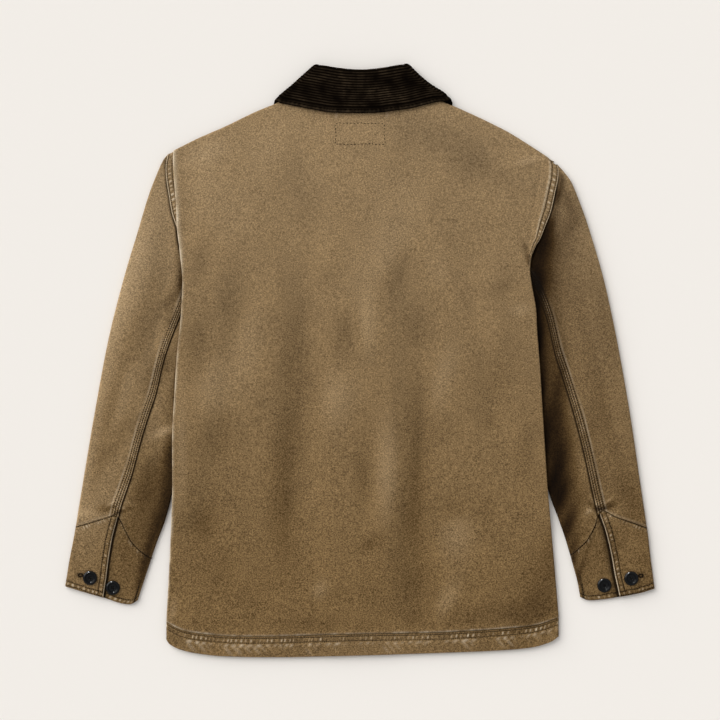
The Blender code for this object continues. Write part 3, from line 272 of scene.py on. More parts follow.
# Painted shade and light of the sleeves: the body's painted shadow beside its edge, painted shade
# on folds, rolls and seam ends, and painted light on lit streaks
SLEEVE_PAINTED_SHADES = {
    "left": (
        (-272, 277, 105, 12, 4.5, -0.40), (-252, 150, 96, 26, 5, -0.25),
        (-250, 110, 92, 24, 6.5, -0.65),
        (-264, 88, 50, 20, 9, -0.30), (-258, 62, 62, 20, 8, -0.25), (-274, -4, 60, 34, 12, -0.20),
        (-256, -42, 88, 26, 5, -0.65), (-262, -60, 84, 40, 11, -0.20),
        (-262, -128, 78, 26, 11, -0.70),
        (-266, -180, 84, 40, 14, -0.75), (-278, -226, 66, 40, 13, -0.60),
        (-298, -268, 70, 40, 7, -0.45),
        (-264, -94, 24, 24, 7, 0.22), (-330, 110, 74, 90, 18, 0.10), (-268, 230, 78, 60, 20, 0.04),
        (-372, -60, 76, 90, 14, 0.10), (-392, -170, 78, 60, 14, 0.10), (-330, -40, 74, 60, 9, 0.09),
        (-345, -62, 72, 50, 14, -0.09), (-340, -110, 60, 40, 12, -0.07),
        (-370, -150, 74, 40, 14, -0.06),
        (-300, 180, 74, 90, 18, 0.07), (-296, -190, 60, 26, 10, -0.12),
        (-330, -180, 40, 20, 8, 0.10),
        (-392, -215, 14, 30, 8, 0.12), (-304, -296, 72, 34, 5, -0.45),
        (-385, -272, 75, 60, 44, -0.012),
        (-300, 60, 74, 60, 12, -0.06), (-318, 20, 74, 40, 12, -0.09), (-346, 60, 76, 60, 10, 0.06),
        (-326, -208, 15, 10, 2.5, -0.25), (-322, -199, -25, 12, 3, 0.14),
        (-358, -205, 14, 14, 5, -0.16),
        (-300, 225, 70, 60, 30, -0.05), (-372, -190, 78, 90, 26, 0.05),
        (-338, -212, 20, 8, 2.2, -0.55), (-352, -206, 20, 10, 2.5, -0.22),
        (-350, -200, 35, 10, 2.5, 0.20),
        (-330, -207, -30, 9, 2.5, 0.22), (-298, -168, 70, 40, 24, -0.25),
        (-290, -215, 60, 36, 14, -0.18), (-325, -264, 78, 60, 22, -0.19),
        (-252, 5, 86, 34, 5, -0.30),
    ),
    "right": (
        (281, 258, 100, 12, 4.5, -0.30), (277, 232, 76, 20, 5, -0.62), (261, 185, 62, 22, 8, -0.80),
        (254, 158, 62, 24, 12, -0.75), (262, 158, 70, 34, 26, -0.36), (244, 112, 90, 30, 12, -0.95),
        (258, 112, 88, 34, 24, -0.36), (247, 70, 84, 36, 6, -0.95), (250, 20, 86, 44, 5.5, -0.95),
        (254, -50, 86, 50, 5.5, -1.0), (259, -120, 86, 50, 6.5, -1.0),
        (268, -176, 72, 34, 9, -0.95),
        (264, 30, 84, 60, 18, -0.34), (270, -50, 84, 60, 20, -0.36), (278, -130, 84, 44, 17, -0.58),
        (286, -190, 72, 34, 15, -0.50), (286, -232, 66, 30, 7, -0.60),
        (296, -262, 70, 26, 5, -0.40),
        (296, 190, 60, 22, 10, -0.18), (318, -110, 75, 36, 10, -0.08),
        (326, -168, 70, 26, 12, -0.10),
        (354, 60, 100, 60, 14, -0.06), (336, 10, 104, 80, 9, 0.06), (368, -100, 104, 70, 12, 0.06),
        (318, 160, 110, 60, 9, 0.06), (380, -190, 100, 40, 14, -0.08), (287, 262, -48, 12, 3, 0.20),
        (312, -150, 100, 30, 9, 0.12), (352, -216, 30, 18, 8, 0.12), (322, -206, 60, 14, 8, 0.08),
        (306, -300, 72, 36, 5, -0.45), (330, -206, 15, 9, 2.5, -0.35),
        (321, -210, 35, 10, 2.5, 0.22),
        (346, -200, 22, 12, 3, -0.25), (340, -60, 100, 60, 10, -0.06),
        (300, 100, 100, 50, 12, -0.05),
        (362, -20, 100, 50, 9, 0.05), (344, -150, 95, 40, 9, 0.06), (352, -262, 80, 30, 10, -0.08),
        (338, -207, 10, 9, 2.2, -0.70), (349, -203, 25, 9, 2.5, -0.30),
        (346, -197, 40, 9, 2.5, 0.25),
        (327, -203, -35, 9, 2.5, -0.35), (325, -209, -10, 9, 2.5, 0.25),
        (329, -198, -60, 9, 2.5, 0.20),
        (322, 40, 100, 110, 26, -0.06), (360, -290, 80, 60, 26, 0.06),
        (326, 165, 112, 60, 6, 0.09), (354, 65, 104, 70, 7, 0.10), (376, -60, 100, 60, 7, 0.08),
        (292, 222, -70, 24, 9, -0.26), (252, 115, 80, 40, 13, -0.26), (254, 40, 84, 34, 8, -0.45),
        (279, -30, 80, 36, 6, -0.25), (273, -85, 82, 40, 11, -0.48), (279, -138, 80, 34, 14, -0.36),
        (278, -194, 74, 30, 9, -0.80), (292, -238, 70, 30, 7, -0.60), (298, -278, 72, 26, 5, -0.50),
        (311, -280, 75, 20, 5, 0.14),
    ),
}
# Painted light of each whole sleeve: the left one, towards the light, lighter; the right one darker
SLEEVE_PAINTED_LIGHT = {"left": 0.035, "right": -0.09}
SLEEVE_FOLDS = (  # share along, share across, direction, half length, half width, height
    (0.30, 0.55, 60, 60, 13, -1.3), (0.45, 0.62, 75, 70, 12, -1.2), (0.52, 0.35, 110, 50, 12, 0.4),
    (0.62, 0.78, 70, 60, 12, -1.0), (0.18, 0.30, 50, 60, 15, -0.9), (0.66, 0.30, 20, 36, 9, -0.8),
    (0.40, 0.25, 82, 50, 10, -0.7), (0.72, 0.55, 35, 30, 8, 0.7), (0.50, 0.50, 28, 34, 9, 0.6),
    (0.58, 0.62, 50, 36, 8, -0.8), (0.24, 0.62, 40, 40, 10, -0.7), (0.34, 0.20, 100, 60, 12, 0.5),
)
SLEEVE_CROWN = 2.6  # how far the filled sleeve's middle stands above the solid


def ease(value: Points | float) -> Points:
    """A soft step from 0 to 1 while the value goes from 0 to 1: 3v^2 - 2v^3."""
    step = np.clip(value, 0.0, 1.0)
    return step * step * (3.0 - 2.0 * step)


def hill(value: Points, half_width: float) -> Points:
    """A bell of height 1 at 0: e to the power of minus (value / half_width) squared."""
    return np.exp(-((value / half_width) ** 2))


def rounded(away: Points, radius: Points | float) -> Points:
    """A rounded edge's height, from 0 to 1: the square root of 1 - (1 - away / radius)^2."""
    return np.sqrt(np.clip(1 - (1 - np.minimum(away / radius, 1.0)) ** 2, 0, 1))


def soft_line(points: tuple) -> Points:
    """Many points on a Catmull-Rom curve through a table's points.

    Args:
        points: rows of x, y.

    Returns:
        The curve's points, 12 to each span.
    """
    knots = np.asarray(points, float)
    guide = np.vstack((2 * knots[:1] - knots[1:2], knots, 2 * knots[-1:] - knots[-2:-1]))
    step = np.linspace(0.0, 1.0, 12, endpoint=False)[:, None]
    spans = []
    for before, start, end, after in zip(guide, guide[1:], guide[2:], guide[3:]):
        bend = 2 * before - 5 * start + 4 * end - after
        twist = 3 * start - before - 3 * end + after
        spans.append(start + 0.5 * ((end - before) * step + bend * step**2 + twist * step**3))
    return np.vstack(spans + [knots[-1:]])


class Line:
    """A soft line through a table's points, read at a share of its length or width."""

    def __init__(self, points: tuple, by_width: bool = False) -> None:
        """Lays the line through the points and measures it.

        Args:
            points: rows of x, y.
            by_width: whether a share is of the width along x, and not of the length.
        """
        self.line = soft_line(points)
        steps = np.diff(self.line, axis=0)
        pace = np.abs(steps[:, 0]) if by_width else np.hypot(steps[:, 0], steps[:, 1])
        run = np.concatenate(([0.0], np.cumsum(pace)))
        self.length = float(run[-1])
        self.share = run / run[-1]

    def at(self, share: Points | float) -> Points:
        """The x and y of the line's points at the given shares."""
        return np.stack([np.interp(share, self.share, self.line[:, axis]) for axis in (0, 1)], -1)

    def beside(self, share: Points, away: Points | float) -> Points:
        """Places beside the line: its point, plus the distance times its unit normal.

        Args:
            share: shares of the line.
            away: distances to the left of its direction.

        Returns:
            The places' x and y.
        """
        run = self.at(np.minimum(share + 0.004, 1.0)) - self.at(np.maximum(share - 0.004, 0.0))
        run = run / np.hypot(run[..., 0], run[..., 1])[..., None]
        left = np.stack([-run[..., 1], run[..., 0]], -1)
        return self.at(share) + left * np.asarray(away)[..., None]


class Patch:
    """A piece's outline as four edges, and every place between them (a Coons patch)."""

    def __init__(self, top: Line, bottom: Line, first: Line, last: Line) -> None:
        """Keeps the four edges."""
        self.top, self.bottom, self.first, self.last = top, bottom, first, last

    def at(self, across: Points, down: Points) -> Points:
        """Places between the edges: both pairs of edges blended, less the blended corners.

        Args:
            across: shares across from the first edge to the last.
            down: shares down from the top to the bottom.

        Returns:
            The places' x and y.
        """
        across, down = np.broadcast_arrays(across, down)
        over, below = across[..., None], down[..., None]
        between = (1 - below) * self.top.at(across) + below * self.bottom.at(across)
        beside = (1 - over) * self.first.at(down) + over * self.last.at(down)
        high = (1 - over) * self.top.at(0.0) + over * self.top.at(1.0)
        low = (1 - over) * self.bottom.at(0.0) + over * self.bottom.at(1.0)
        return between + beside - (1 - below) * high - below * low


def fold_height(places: Points, folds: tuple) -> Points:
    """Sum of long bells: rise * e^-(along/half length)^2 * e^-(across/half width)^2.

    Args:
        places: x and y in millimetres, in the last axis.
        folds: rows of middle x and y, direction in degrees, half length, half width, rise.

    Returns:
        The sum at each place.
    """
    height = np.zeros(places.shape[:-1])
    for x, y, direction, half_length, half_width, rise in folds:
        turn = math.radians(direction)
        along = (places[..., 0] - x) * math.cos(turn) + (places[..., 1] - y) * math.sin(turn)
        across = (places[..., 1] - y) * math.cos(turn) - (places[..., 0] - x) * math.sin(turn)
        height += rise * hill(along, half_length) * hill(across, half_width)
    return height


@dataclass(frozen=True)
class Crumple:
    """The small uneven waves of washed cloth: many cosines with random turns and lengths."""

    seed: int
    shortest: float
    longest: float
    height: float
    count: int = 26
    stretch: float = 1.0

    def at(self, places: Points) -> Points:
        """Height of the waves at places.

        Args:
            places: x and y in millimetres, in the last axis.

        Returns:
            Heights whose usual size is self.height.
        """
        chance = np.random.default_rng(self.seed)
        turn = chance.uniform(0, 2 * math.pi, self.count)
        wave = 2 * math.pi / chance.uniform(self.shortest, self.longest, self.count)
        phase = chance.uniform(0, 2 * math.pi, self.count)
        total = np.zeros(places.shape[:-1])
        for angle, pace, start in zip(turn, wave, phase):
            x = places[..., 0] * math.cos(angle) * pace
            y = places[..., 1] * math.sin(angle) * pace / self.stretch
            total += np.cos(x + y + start)
        return total * self.height * math.sqrt(2.0 / self.count)


@dataclass(frozen=True)
class Puckers:
    """The row of small humps that a shrunk seam draws the cloth into."""

    seed: int
    pitch: float = 6.4
    height: float = 0.5
    slant: float = 0.35

    def at(self, run: Points, across: Points) -> Points:
        """Height of the humps: (1 + cos of a phase that grows by one turn a hump) / 2.

        Args:
            run: distance along the seam in millimetres.
            across: distance over the seam in millimetres; humps lean by slant times it.

        Returns:
            Heights from 0 to about self.height, uneven from hump to hump.
        """
        chance = np.random.default_rng(self.seed)
        steps = self.pitch * chance.uniform(0.65, 1.4, 400)
        centres = -700.0 + np.concatenate(([0.0], np.cumsum(steps)))
        sizes = chance.uniform(0.35, 1.25, 401)
        place = run + self.slant * across
        phase = np.interp(place, centres, np.arange(401))
        size = np.interp(place, centres, sizes)
        return self.height * size * ((1 + np.cos(2 * math.pi * phase)) / 2) ** 1.3


def dotted(run: Points, pitch: float = 2.9) -> Points:
    """How much of a row is thread at a distance along it: 0.62 + 0.38 cos of one turn a stitch."""
    wander = 0.6 * np.sin(run / 11.0) + 0.5 * np.sin(run / 4.7)
    return 0.62 + 0.38 * np.cos(2 * math.pi * run / pitch + wander)


BROAD_CRUMPLE = Crumple(11, 70.0, 190.0, 0.34)
MIDDLE_CRUMPLE = Crumple(12, 26.0, 60.0, 0.13)
SMALL_CRUMPLE = Crumple(13, 9.0, 22.0, 0.045)


def crumpled(places: Points) -> Points:
    """Sum of the three sizes of waves that cover all of the canvas."""
    return BROAD_CRUMPLE.at(places) + MIDDLE_CRUMPLE.at(places) + SMALL_CRUMPLE.at(places)


SLEEVE_BED = {side: Line(SLEEVES[side]["inner"]).line for side in SLEEVES}


def lift(places: Points) -> Points:
    """How high the fronts' outer face is held by sleeves, collar leaves and buttons.

    The heights of the three are joined by their fourth powers, as the solids' are.

    Args:
        places: x and y in millimetres, in the last axis.

    Returns:
        Heights above the floor.
    """
    x, y = places[..., 0], places[..., 1]
    held = np.zeros(x.shape)
    for side, sign in SIGNS.items():
        bed = SLEEVE_BED[side][::-1]
        inner_edge = np.interp(y, bed[:, 1], bed[:, 0] * sign)
        reach = ease((x * sign - inner_edge + SLEEVE_ROOM) / PLACKET_RAMP)
        span = ease((ARMPIT_HEIGHT - y) / ARMPIT_RAMP) * ease((y - WRIST_HEIGHT) / WRIST_RAMP)
        held = held + (SLEEVE_LIFT * reach * span) ** 4
    from_neck = np.hypot(x, y - NECK_MIDDLE)
    held = held + (COLLAR_LIFT * ease((LEAF_REACH - from_neck) / LEAF_RAMP)) ** 4
    placket = ease((PLACKET_REACH - np.abs(x)) / PLACKET_RAMP)
    held = held + (PLACKET_LIFT * placket * ease((y - PLACKET_END) / PLACKET_END_RAMP)) ** 4
    return held**0.25


def placket_step(x: Points, y: Points) -> Points:
    """The right front's rise where it lies over the left front's placket."""
    return PLACKET_STEP * ease((STEP_REACH - x) / PLACKET_RAMP) * ease((STEP_TOP - y) / STEP_RAMP)


def back_height(places: Points, hem: bool = False) -> Points:
    """Height of the back's outer face: a soft hill over all that lies below it.

    Args:
        places: x and y in millimetres, in the last axis.
        hem: whether it is the hem band's, which has none of the back's folds.

    Returns:
        Heights above the floor: the sixth root of the sum of two heights' sixth powers.
    """
    below = lift(places) + placket_step(np.abs(places[..., 0]), places[..., 1]) + LAYER_ROOM
    height = 2 * LAYER + ((SHOULDER_HEIGHT - 2 * LAYER) ** 6 + below**6) ** (1 / 6)
    return height if hem else height + fold_height(places, BACK_FOLDS)


def half_height(places: Points) -> Points:
    """Half of the body's thickness at its edge, less half of the gap in the seam."""
    return (back_height(places) - lift(places)) / 2 - ROLL_SEAM


@dataclass
class Grid:
    """A sheet of points in rows and columns, with its cloth directions, its wear and painted light,
    and its painted shade.
    """

    points: Points
    weave: Points
    wear_and_painted_light: Points
    flip: bool = False
    shade: Points | float = 0.0


def mesh_of(name: str, grids: list[Grid], material: Material) -> Piece:
    """Puts grids into one mesh with a weave UV map, an attribute of wear and painted light, and one
    of painted shade.

    Args:
        name: the piece's name.
        grids: the sheets that make it, in millimetres.
        material: its finish.

    Returns:
        The new object, linked to the scene and riding on the coat.
    """
    places, faces, weave, wear_and_painted_light, shade, start = [], [], [], [], [], 0
    for grid in grids:
        rows, columns = grid.points.shape[:2]
        index = np.arange(rows * columns).reshape(rows, columns) + start
        corners = (index[:-1, :-1], index[:-1, 1:], index[1:, 1:], index[1:, :-1])
        quads = np.stack(corners, -1).reshape(-1, 4)
        faces.append(quads[:, ::-1] if grid.flip else quads)
        places.append(grid.points.reshape(-1, 3))
        weave.append(grid.weave.reshape(-1, 2))
        wear_and_painted_light.append(np.broadcast_to(grid.wear_and_painted_light, (rows, columns)).reshape(-1))
        shade.append(np.broadcast_to(grid.shade, (rows, columns)).reshape(-1))
        start += rows * columns
    marks = {"wear_and_painted_light": np.concatenate(wear_and_painted_light), "shade": np.concatenate(shade)}
    return raw_mesh(name, np.vstack(places), np.vstack(faces), material, np.vstack(weave), marks)


def raw_mesh(name: str, places: Points, faces: NDArray, material: Material,
             weave: Points | None = None, marks: dict | None = None) -> Piece:
    """Makes the object of a mesh with four-cornered faces.

    Args:
        name: the piece's name.
        places: points in millimetres.
        faces: the numbers of each face's four points.
        material: its finish.
        weave: cloth directions in millimetres, for the UV map.
        marks: values at each point, by the name of their attribute.

    Returns:
        The new object, linked to the scene and riding on the coat.
    """
    mesh = bpy.data.meshes.new(name)
    mesh.vertices.add(len(places))
    mesh.vertices.foreach_set("co", (places * MM).astype(np.float32).ravel())
    mesh.loops.add(faces.size)
    mesh.loops.foreach_set("vertex_index", faces.astype(np.int32).ravel())
    mesh.polygons.add(len(faces))
    mesh.polygons.foreach_set("loop_start", np.arange(0, faces.size, 4, dtype=np.int32))
    mesh.polygons.foreach_set("use_smooth", np.ones(len(faces), bool))
    mesh.update(calc_edges=True)
    if weave is not None:
        layer = mesh.uv_layers.new(name="weave")
        layer.data.foreach_set("uv", (weave[faces.ravel()] * MM).astype(np.float32).ravel())
    for mark, values in (marks or {}).items():
        layer = mesh.attributes.new(mark, "FLOAT", "POINT")
        layer.data.foreach_set("value", values.astype(np.float32))
    mesh.materials.append(material)
    piece = bpy.data.objects.new(name, mesh)
    bpy.context.scene.collection.objects.link(piece)
    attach(piece, "root")
    LOG.info("%s: %d points, %d faces", name, len(places), len(faces))
    return piece


def walled(piece: Piece, wall: float) -> None:
    """Gives a sheet the thickness of its cloth in millimetres, inwards from its outer face."""
    thick = piece.modifiers.new("wall", "SOLIDIFY")
    thick.thickness, thick.offset = wall * MM, -1.0


def dressed(name: str, grids: list[Grid], material: Material, solid: str,
            wall: float = 0.0) -> Piece:
    """Makes a piece that is seen in place of a CAD solid.

    Args:
        name: the piece's name.
        grids: the sheets that make it, in millimetres.
        material: its finish.
        solid: the node that it replaces.
        wall: the cloth's thickness, or 0 for a closed form or a single sheet.

    Returns:
        The new object.
    """
    piece = mesh_of(name, grids, material)
    if wall:
        walled(piece, wall)
    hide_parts(solid)
    return piece


def run_lengths(points: Points, axis: int) -> Points:
    """Distance run along an axis of a grid: the sum of the steps from its first row or column.

    Args:
        points: rows and columns of points.
        axis: 0 to run down the rows, 1 to run along the columns.

    Returns:
        A distance for each point.
    """
    steps = np.linalg.norm(np.diff(points, axis=axis), axis=-1)
    start = np.zeros_like(np.take(steps, [0], axis=axis))
    return np.concatenate([start, np.cumsum(steps, axis=axis)], axis=axis)


def weave_on(points: Points) -> Points:
    """Cloth directions of a grid: distances across from its middle, and down from its top.

    Args:
        points: rows and columns of points.

    Returns:
        Two distances for each point, in millimetres.
    """
    across = run_lengths(points, 1)
    middle = across[:, across.shape[1] // 2][:, None]
    return np.stack([across - middle, run_lengths(points, 0)], -1)


@dataclass
class Sewing:
    """Rows of stitches: each stitch is a small flattened tube along its row."""

    name: str
    pitch: float = 3.1
    share: float = 0.78
    half_width: float = 0.42
    height: float = 0.30
    paths: list[tuple[Points, float]] = field(default_factory=list)

    def row(self, path: Points, up: float = 1.0) -> None:
        """Adds a row of stitches along points that lie on the cloth; up is 1 or -1."""
        self.paths.append((path, up))

    def build(self, material: Material) -> Piece:
        """Makes one mesh of every stitch.

        Each stitch has five rings of six points. A ring's size follows the square root
        of 1 - u^4 along the stitch, u from -1 to 1, so that its ends are round.

        Args:
            material: the thread's finish.

        Returns:
            The object that holds all of the rows.
        """
        places, faces = [], []
        angles = np.radians(np.arange(6) * 60.0)
        shares = np.array((-1.0, -0.72, 0.0, 0.72, 1.0))
        swell = np.sqrt(np.maximum(1.0 - shares**4, 0.04))
        start = 0
        for path, up in self.paths:
            run = np.concatenate(([0.0], np.cumsum(np.linalg.norm(np.diff(path, axis=0), axis=1))))
            count = max(1, int(run[-1] / self.pitch))
            centre = (np.arange(count) + 0.5) * run[-1] / count
            half = 0.5 * self.share * run[-1] / count
            spots = np.clip(centre[:, None] + shares * half, 0, run[-1])
            middle = np.stack([np.interp(spots, run, path[:, axis]) for axis in range(3)], -1)
            along = middle[:, -1] - middle[:, 0]
            along = along / np.maximum(np.linalg.norm(along, axis=1), 1e-6)[:, None]
            above = np.array((0.0, 0.0, up))
            side = np.cross(along, above)
            side = side / np.maximum(np.linalg.norm(side, axis=1), 1e-6)[:, None]
            wide = np.cos(angles)[None, None, :, None] * side[:, None, None, :] * self.half_width
            tall = np.sin(angles)[None, None, :, None] * above * self.height
            ring = middle[:, :, None, :] + (wide + tall) * swell[None, :, None, None]
            ring = ring + above * 0.10
            places.append(ring.reshape(-1, 3))
            index = np.arange(count * 30).reshape(count, 5, 6) + start
            after = np.roll(index, -1, axis=2)
            quads = (index[:, :-1], after[:, :-1], after[:, 1:], index[:, 1:])
            faces.append(np.stack(quads, -1).reshape(-1, 4))
            for ends, turn in ((index[:, 0], 1), (index[:, -1], -1)):
                caps = np.concatenate([ends[:, (0, 1, 2, 3)], ends[:, (3, 4, 5, 0)]])
                faces.append(caps[:, ::-turn])
            start += count * 30
        return raw_mesh(self.name, np.vstack(places), np.vstack(faces), material)


class Nodes:
    """A new material, and short calls for the nodes that feed its Principled shader."""

    def __init__(self, name: str) -> None:
        """Makes the material.

        Args:
            name: the material's name.
        """
        self.material = bpy.data.materials.new(name)
        self.material.use_nodes = True
        self.tree = self.material.node_tree
        self.shader = self.tree.nodes["Principled BSDF"]

    def add(self, kind: str, inputs: dict, **settings: object) -> bpy.types.Node:
        """Adds a node.

        Args:
            kind: the node's type.
            inputs: a socket to link or a value to set, by the input's name or number.
            settings: the node's properties.

        Returns:
            The new node.
        """
        made = self.tree.nodes.new(kind)
        for key, value in settings.items():
            setattr(made, key, value)
        for key, value in inputs.items():
            if isinstance(value, Socket):
                self.tree.links.new(value, made.inputs[key])
            else:
                made.inputs[key].default_value = value
        return made

    def maths(self, operation: str, *values: Socket | float) -> Socket:
        """The result of a Math node on sockets or numbers."""
        inputs = dict(enumerate(values))
        return self.add("ShaderNodeMath", inputs, operation=operation).outputs[0]

    def place(self) -> Socket:
        """Coordinates of the object, in metres."""
        return self.add("ShaderNodeTexCoord", {}).outputs["Object"]

    def mark(self, name: str) -> Socket:
        """A value that the mesh holds at each point."""
        return self.add("ShaderNodeAttribute", {}, attribute_name=name).outputs["Fac"]

    def noise(self, place: Socket, scale: float, detail: float, roughness: float = 0.5) -> Socket:
        """A Noise Texture's value, about 0.5 in the middle."""
        inputs = {"Vector": place, "Scale": scale, "Detail": detail, "Roughness": roughness}
        return self.add("ShaderNodeTexNoise", inputs).outputs[0]

    def around(self, noise: Socket, strength: float, onto: Socket | float) -> Socket:
        """A noise less its middle, times a strength, plus something else."""
        return self.maths("MULTIPLY_ADD", self.maths("SUBTRACT", noise, 0.5), strength, onto)

    def mix(self, share: Socket | float, first: Socket | Row, second: Socket | Row,
            blend: str = "MIX") -> Socket:
        """Mixes or multiplies two colours.

        Args:
            share: how much of the second one there is.
            first: a socket, or a colour's three numbers.
            second: the same.
            blend: the Mix node's way of blending.

        Returns:
            The new colour.
        """
        pair = [(*value, 1.0) if isinstance(value, tuple) else value for value in (first, second)]
        inputs = {0: share, 6: pair[0], 7: pair[1]}
        return self.add("ShaderNodeMix", inputs, data_type="RGBA", blend_type=blend).outputs[2]

    def bump(self, height: Socket, strength: float, distance: float) -> None:
        """Links a small relief to the shader; its distance is in metres."""
        inputs = {"Strength": strength, "Distance": distance, "Height": height}
        self.tree.links.new(self.add("ShaderNodeBump", inputs).outputs[0],
                            self.shader.inputs["Normal"])

    def finish(self, tint: Socket | Row, roughness: float, specular: float) -> Material:
        """Gives the shader its colour and its gloss.

        Args:
            tint: a socket, or a colour's three numbers.
            roughness: the shader's roughness.
            specular: its specular level.

        Returns:
            The material.
        """
        if isinstance(tint, Socket):
            self.tree.links.new(tint, self.shader.inputs["Base Color"])
        else:
            self.shader.inputs["Base Color"].default_value = (*tint, 1.0)
        self.shader.inputs["Roughness"].default_value = roughness
        self.shader.inputs["Specular IOR Level"].default_value = specular
        return self.material


@dataclass(frozen=True)
class Finish:
    """What every finish has: its material's name."""

    name: str


@dataclass(frozen=True)
class Canvas(Finish):
    """Washed duck canvas: a plain weave, mottled and grainy, worn pale, with painted light and
    shade.
    """

    base: Row = (0.2045, 0.1285, 0.0545)
    # Colour of the painted shade in grooves, ditches, under edges and under the slit
    dark: Row = (0.013, 0.0065, 0.0015)
    # Colour of wear and of painted highlights
    pale: Row = (0.76, 0.64, 0.47)
    painted_light_rise: float = 0.42
    pale_wash_and_light: Row = (0.045, 0.14)
    thread_pitch: float = 0.00085
    grain: float = 1.9
    mottle: float = 0.5
    patches: float = 0.45
    browning: float = 0.35
    shade_base: float = 9.0
    darkest: float = 0.15

    def make(self) -> Material:
        """Builds the canvas.

        The tone is a fine noise to the power of the grain, plus mottle, broad patches and
        painted light that grows towards the collar, times 9 to the power of the painted
        shade. It tints the base colour, which is then mixed with the pale one by wear and
        painted highlights, and with the dark one by painted shade.

        Returns:
            The material.
        """
        nodes = Nodes(self.name)
        maths = nodes.maths
        place = nodes.place()
        weave = nodes.add("ShaderNodeUVMap", {}, uv_map="weave").outputs["UV"]
        # The mark of wear and painted light, and the painted shade
        worn, shade = nodes.mark("wear_and_painted_light"), nodes.mark("shade")
        fine = nodes.noise(place, 540.0, 2.5, 0.85)
        spots = nodes.noise(place, 130.0, 3.0, 0.6)
        broad = nodes.noise(place, 19.0, 3.0, 0.6)
        up = nodes.add("ShaderNodeSeparateXYZ", {"Vector": place}).outputs["Y"]
        grainy = maths("POWER", maths("MULTIPLY", fine, 2.0), self.grain)
        tone = nodes.around(broad, self.patches, nodes.around(spots, self.mottle, grainy))
        tone = maths("MAXIMUM", maths("ADD", tone, maths("MULTIPLY", up, self.painted_light_rise)), self.darkest)
        tone = maths("MULTIPLY", tone, maths("POWER", self.shade_base, shade))
        # Share of the pale colour: wear, painted highlights, washed-out dye and painted light
        wear_and_highlight_share = self.paleness(nodes, maths("MAXIMUM", worn, 0.0), fine, shade)
        wear_and_highlight_share = maths("ADD", wear_and_highlight_share, self.paling_by_wash_and_light(nodes, up, shade, grainy))
        # Share of the dark colour: painted shade where the mark is below 0
        painted_shade_share = maths("MAXIMUM", maths("MULTIPLY", worn, -1.0), 0.0)
        tint = nodes.mix(maths("MINIMUM", wear_and_highlight_share, 1.0), self.tinted(nodes, tone), self.pale)
        tint = nodes.mix(maths("MINIMUM", painted_shade_share, 0.97), tint, self.dark)
        height = maths("MULTIPLY_ADD", fine, 1.6, self.threads(nodes, weave))
        nodes.bump(maths("MULTIPLY_ADD", spots, 1.2, height), 0.55, 0.00022)
        nodes.shader.inputs["Sheen Weight"].default_value = 0.03
        nodes.shader.inputs["Sheen Roughness"].default_value = 0.5
        return nodes.finish(tint, 0.92, 0.05)

    def tinted(self, nodes: Nodes, tone: Socket) -> Socket:
        """The base colour at a tone.

        Above 1 the tone multiplies the colour. Below 1 a part of its logarithm, the
        browning, goes into a gamma of the colour, so that dark places are browner, and
        the rest multiplies it.

        Args:
            nodes: the material's nodes.
            tone: 1 for the base colour as it is.

        Returns:
            The colour.
        """
        maths = nodes.maths
        below = maths("MINIMUM", tone, 1.0)
        share = self.browning / math.log(self.base[0])
        gamma = maths("MULTIPLY_ADD", maths("LOGARITHM", below, math.e), share, 1.0)
        inputs = {"Color": (*self.base, 1.0), "Gamma": gamma}
        tint = nodes.add("ShaderNodeGamma", inputs).outputs[0]
        rest = maths("POWER", below, 1.0 - self.browning)
        bright = maths("MULTIPLY", maths("MAXIMUM", tone, 1.0), rest)
        return nodes.mix(1.0, tint, bright, "MULTIPLY")

    def paleness(self, nodes: Nodes, worn: Socket, fine: Socket, shade: Socket) -> Socket:
        """Share of the pale colour from wear and painted highlights: mark * (noise + 0.15) * 9^(0.8
        * painted shade below 0).

        Args:
            nodes: the material's nodes.
            worn: the mark of wear and painted light, above 0.
            fine: the finest noise.
            shade: the painted shade, which is below 0 where shade is painted.

        Returns:
            The share.
        """
        maths = nodes.maths
        grainy_wear = maths("MULTIPLY", worn, maths("MULTIPLY_ADD", fine, 1.0, 0.15))
        dark = maths("MULTIPLY", maths("MINIMUM", shade, 0.0), 0.8)
        return maths("MULTIPLY", grainy_wear, maths("POWER", self.shade_base, dark))

    def paling_by_wash_and_light(self, nodes: Nodes, up: Socket, shade: Socket, grainy: Socket) -> Socket:
        """Share of the pale colour from washed-out dye and painted light, which grows towards the
        collar.

        It is a straight line over the height, plus 0.5 of the painted shade where that is
        painted light, plus 0.1 of the painted shade, times the grain.

        Args:
            nodes: the material's nodes.
            up: metres towards the collar.
            shade: the painted shade.
            grainy: the grain.

        Returns:
            The share.
        """
        maths = nodes.maths
        pale_wash_and_light = maths("MULTIPLY_ADD", up, self.pale_wash_and_light[1], self.pale_wash_and_light[0])
        pale_wash_and_light = maths("MULTIPLY_ADD", maths("MAXIMUM", shade, 0.0), 0.5, pale_wash_and_light)
        pale_wash_and_light = maths("MAXIMUM", maths("MULTIPLY_ADD", shade, 0.1, pale_wash_and_light), 0.0)
        return maths("MULTIPLY", pale_wash_and_light, maths("MAXIMUM", grainy, 0.0))

    def threads(self, nodes: Nodes, weave: Socket) -> Socket:
        """Height of a plain weave: the product of two sines is up on warps, down on wefts.

        Args:
            nodes: the material's nodes.
            weave: the cloth's directions, in metres.

        Returns:
            The height, from 0 to 1.
        """
        maths = nodes.maths
        split = nodes.add("ShaderNodeSeparateXYZ", {"Vector": weave})
        pace = math.pi / self.thread_pitch
        sines = [maths("SINE", maths("MULTIPLY", split.outputs[axis], pace)) for axis in "XY"]
        return maths("ABSOLUTE", maths("MULTIPLY", *sines))


